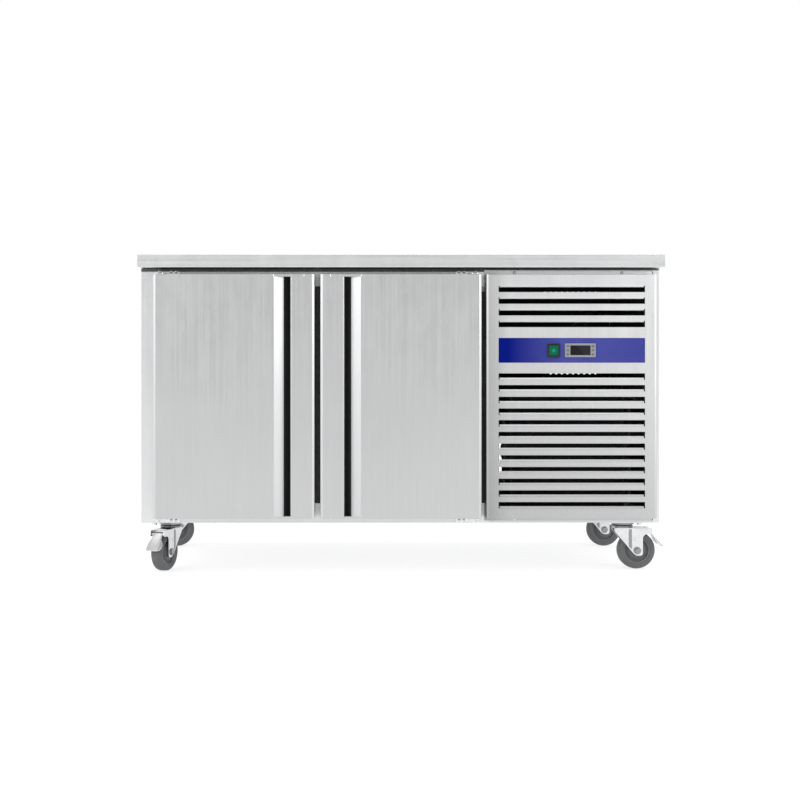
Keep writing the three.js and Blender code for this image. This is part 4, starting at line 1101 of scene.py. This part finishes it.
def evaporator():
    """Housing behind the mullion with its coil, fan and guard."""
    refined("evaporator_housing", steel_inner, "cabinet", 0.5)
    low, high = box("evaporator_coil")
    fins = Shape()
    z = low.z + 3
    while z < high.z - 2:
        fins.add(prism(rect(low.x, high.x, low.y, high.y), "z", z - 0.3, z + 0.3))
        z += 5.0
    for y in range(int(low.y) + 20, int(high.y), 38):
        for x in (low.x + 20, high.x - 20):
            fins.add(tube([(x, y, low.z), (x, y, high.z)], 4.8, 10))
    make("evaporator_fins", fins, aluminium, "cabinet", ["evaporator_coil"])
    fan = middle("evaporator_fan")
    make("evaporator_fan_blades", blades(19, 69.5, 5, 17, 32, 22), black, "evaporator_rotor",
         ["evaporator_fan"], place=at(fan.x, fan.y, fan.z, "x"))
    house_low, house_high = box("evaporator_housing")
    make("evaporator_fan_guard", guard([22, 34, 46, 58, 70, 82], 6, 82, 1.2), wire, "cabinet",
         place=at(house_low.x - 1.8, fan.y, fan.z, "x"))
    screws("evaporator_screws", [(x, y, z, axis) for y in (house_low.y + 14, house_high.y - 14)
                                 for z in (house_low.z + 20, house_high.z - 20)
                                 for x, axis in ((house_low.x, "-x"), (house_high.x, "x"))], 3.6, 2)


def shelves():
    """Wire shelves on their runners, and the floor drain."""
    for side in ("left", "right"):
        node = f"wire_shelf_{side}"
        low, high = box(node)
        r, thin = 2.5, 1.4
        z = low.z + r
        rim = bent([(low.x + r, low.y + 40, z), (low.x + r, low.y + r, z), (high.x - r, low.y + r, z),
                    (high.x - r, high.y - r, z), (low.x + r, high.y - r, z), (low.x + r, low.y + 41, z)], 9)
        shelf = Shape().add(tube(rim[:-1], r, 12, loop=True))
        for y in (0.25, 0.5, 0.75):
            y = low.y + (high.y - low.y) * y
            shelf.add(tube([(low.x + r, y, z), (high.x - r, y, z)], 2.2, 10))
        spaces = 20
        for i in range(1, spaces):
            x = low.x + r + (high.x - low.x - 2 * r) * i / spaces
            ends = (low.y + r, high.y - r)
            shelf.add(tube(bent([(x, ends[0], z - 0.4), (x, ends[0], z + 3.2), (x, ends[1], z + 3.2),
                                 (x, ends[1], z - 0.4)], 2, 3), thin, 8))
        make(f"shelf_{side}_wires", shelf, wire, "cabinet", [node])
        refined(f"shelf_runners_{side}", steel_inner, "cabinet", 0.4)
    floor_low, floor_high = box("floor_wall")
    drain = lathe([(0, 0), (15, 0), (15, 0.9), (13.5, 1.5), (8, 1.5), (7, 0.4), (0, 0.4)], 32)
    make("floor_drain", drain, fastener, "cabinet",
         place=at(floor_low.x + 140, floor_high.y - 90, floor_high.z))


worktop()
cabinet()
shade_lining()
rear()
louvred_panel()
controls()
door("left", 1)
door("right", -1)
for corner, braked in (("front_left", True), ("front_right", True), ("rear_left", False),
                       ("rear_right", False)):
    castor(corner, braked)
condenser()
shroud()
compressor()
tray()
evaporator()
shelves()


# ---------------------------------------------------------------- studio

def studio():
    """Pale floor, soft lights and a world that is darker in front, bright at both sides and white behind."""
    floor_look = Look("studio_floor", (0.34, 0.34, 0.34), 0.0, 0.9)
    floor_look.tint(floor_look.noise(1.5, (1, 1, 1), 2.0), 0.995, 1.0)
    mesh = bpy.data.meshes.new("studio_floor")
    work = bmesh.new()
    bmesh.ops.create_grid(work, x_segments=4, y_segments=4, size=30)
    work.to_mesh(mesh)
    work.free()
    floor = bpy.data.objects.new("studio_floor", mesh)
    bpy.context.scene.collection.objects.link(floor)
    mesh.materials.append(floor_look.done(Emission_Color=(1, 1, 1, 1), Emission_Strength=0.74,
                                          Specular_IOR_Level=0.0))

    world = bpy.data.worlds.new("studio")
    world.use_nodes = True
    bpy.context.scene.world = world
    tree = world.node_tree
    background = tree.nodes["Background"]
    coords, apart, side, ramp, behind, blend = [tree.nodes.new("ShaderNode" + kind) for kind in (
        "TexCoord", "SeparateXYZ", "Math", "ValToRGB", "MapRange", "Mix")]
    side.operation = "ABSOLUTE"
    behind.inputs["From Min"].default_value = -0.2
    behind.inputs["From Max"].default_value = 0.15
    blend.data_type = "RGBA"
    blend.inputs["B"].default_value = (1, 1, 1, 1)
    for source, output, target, slot in (
            (coords, "Generated", apart, 0), (apart, "X", side, 0), (side, 0, ramp, "Fac"),
            (apart, "Y", behind, "Value"), (behind, "Result", blend, "Factor"), (ramp, "Color", blend, "A"),
            (blend, "Result", background, "Color")):
        tree.links.new(source.outputs[output], target.inputs[slot])
    stops = ((0.0, 0.59), (0.3, 0.61), (0.46, 1.5), (0.9, 1.9), (1.0, 1.2))
    ramp.color_ramp.elements[0].position = stops[0][0]
    ramp.color_ramp.elements[1].position = stops[-1][0]
    for position, _ in stops[1:-1]:
        ramp.color_ramp.elements.new(position)
    for element, (_, value) in zip(ramp.color_ramp.elements, stops):
        element.color = (value, value, value, 1)
    background.inputs["Strength"].default_value = 1.0

    for name, place, size, power in (("key", (-3.2, -2.6, 2.6), 2.6, 30), ("fill", (3.4, -2.2, 2.0), 2.6, 22),
                                     ("top", (0.0, -0.6, 3.6), 3.0, 30)):
        lamp = bpy.data.lights.new(name, "AREA")
        lamp.size = size
        lamp.energy = power
        holder = bpy.data.objects.new(name, lamp)
        bpy.context.scene.collection.objects.link(holder)
        holder.location = place
        aim = Vector((0, 0, 0.4)) - Vector(place)
        holder.rotation_euler = aim.to_track_quat("-Z", "Y").to_euler()
    bpy.context.scene.view_settings.view_transform = "Standard"


def camera():
    """Camera in front, a little left of the middle, framed as the photograph is."""
    data = bpy.data.cameras.new("camera")
    holder = bpy.data.objects.new("camera", data)
    bpy.context.scene.collection.objects.link(holder)
    data.sensor_width = 36.0
    data.lens = 61.59
    data.shift_x = 0.07
    data.shift_y = -0.05
    holder.location = (-0.1714, -3.8739, 0.5547)
    holder.rotation_euler = (math.radians(90.037), 0, math.radians(-0.173))
    bpy.context.scene.camera = holder


studio()
camera()
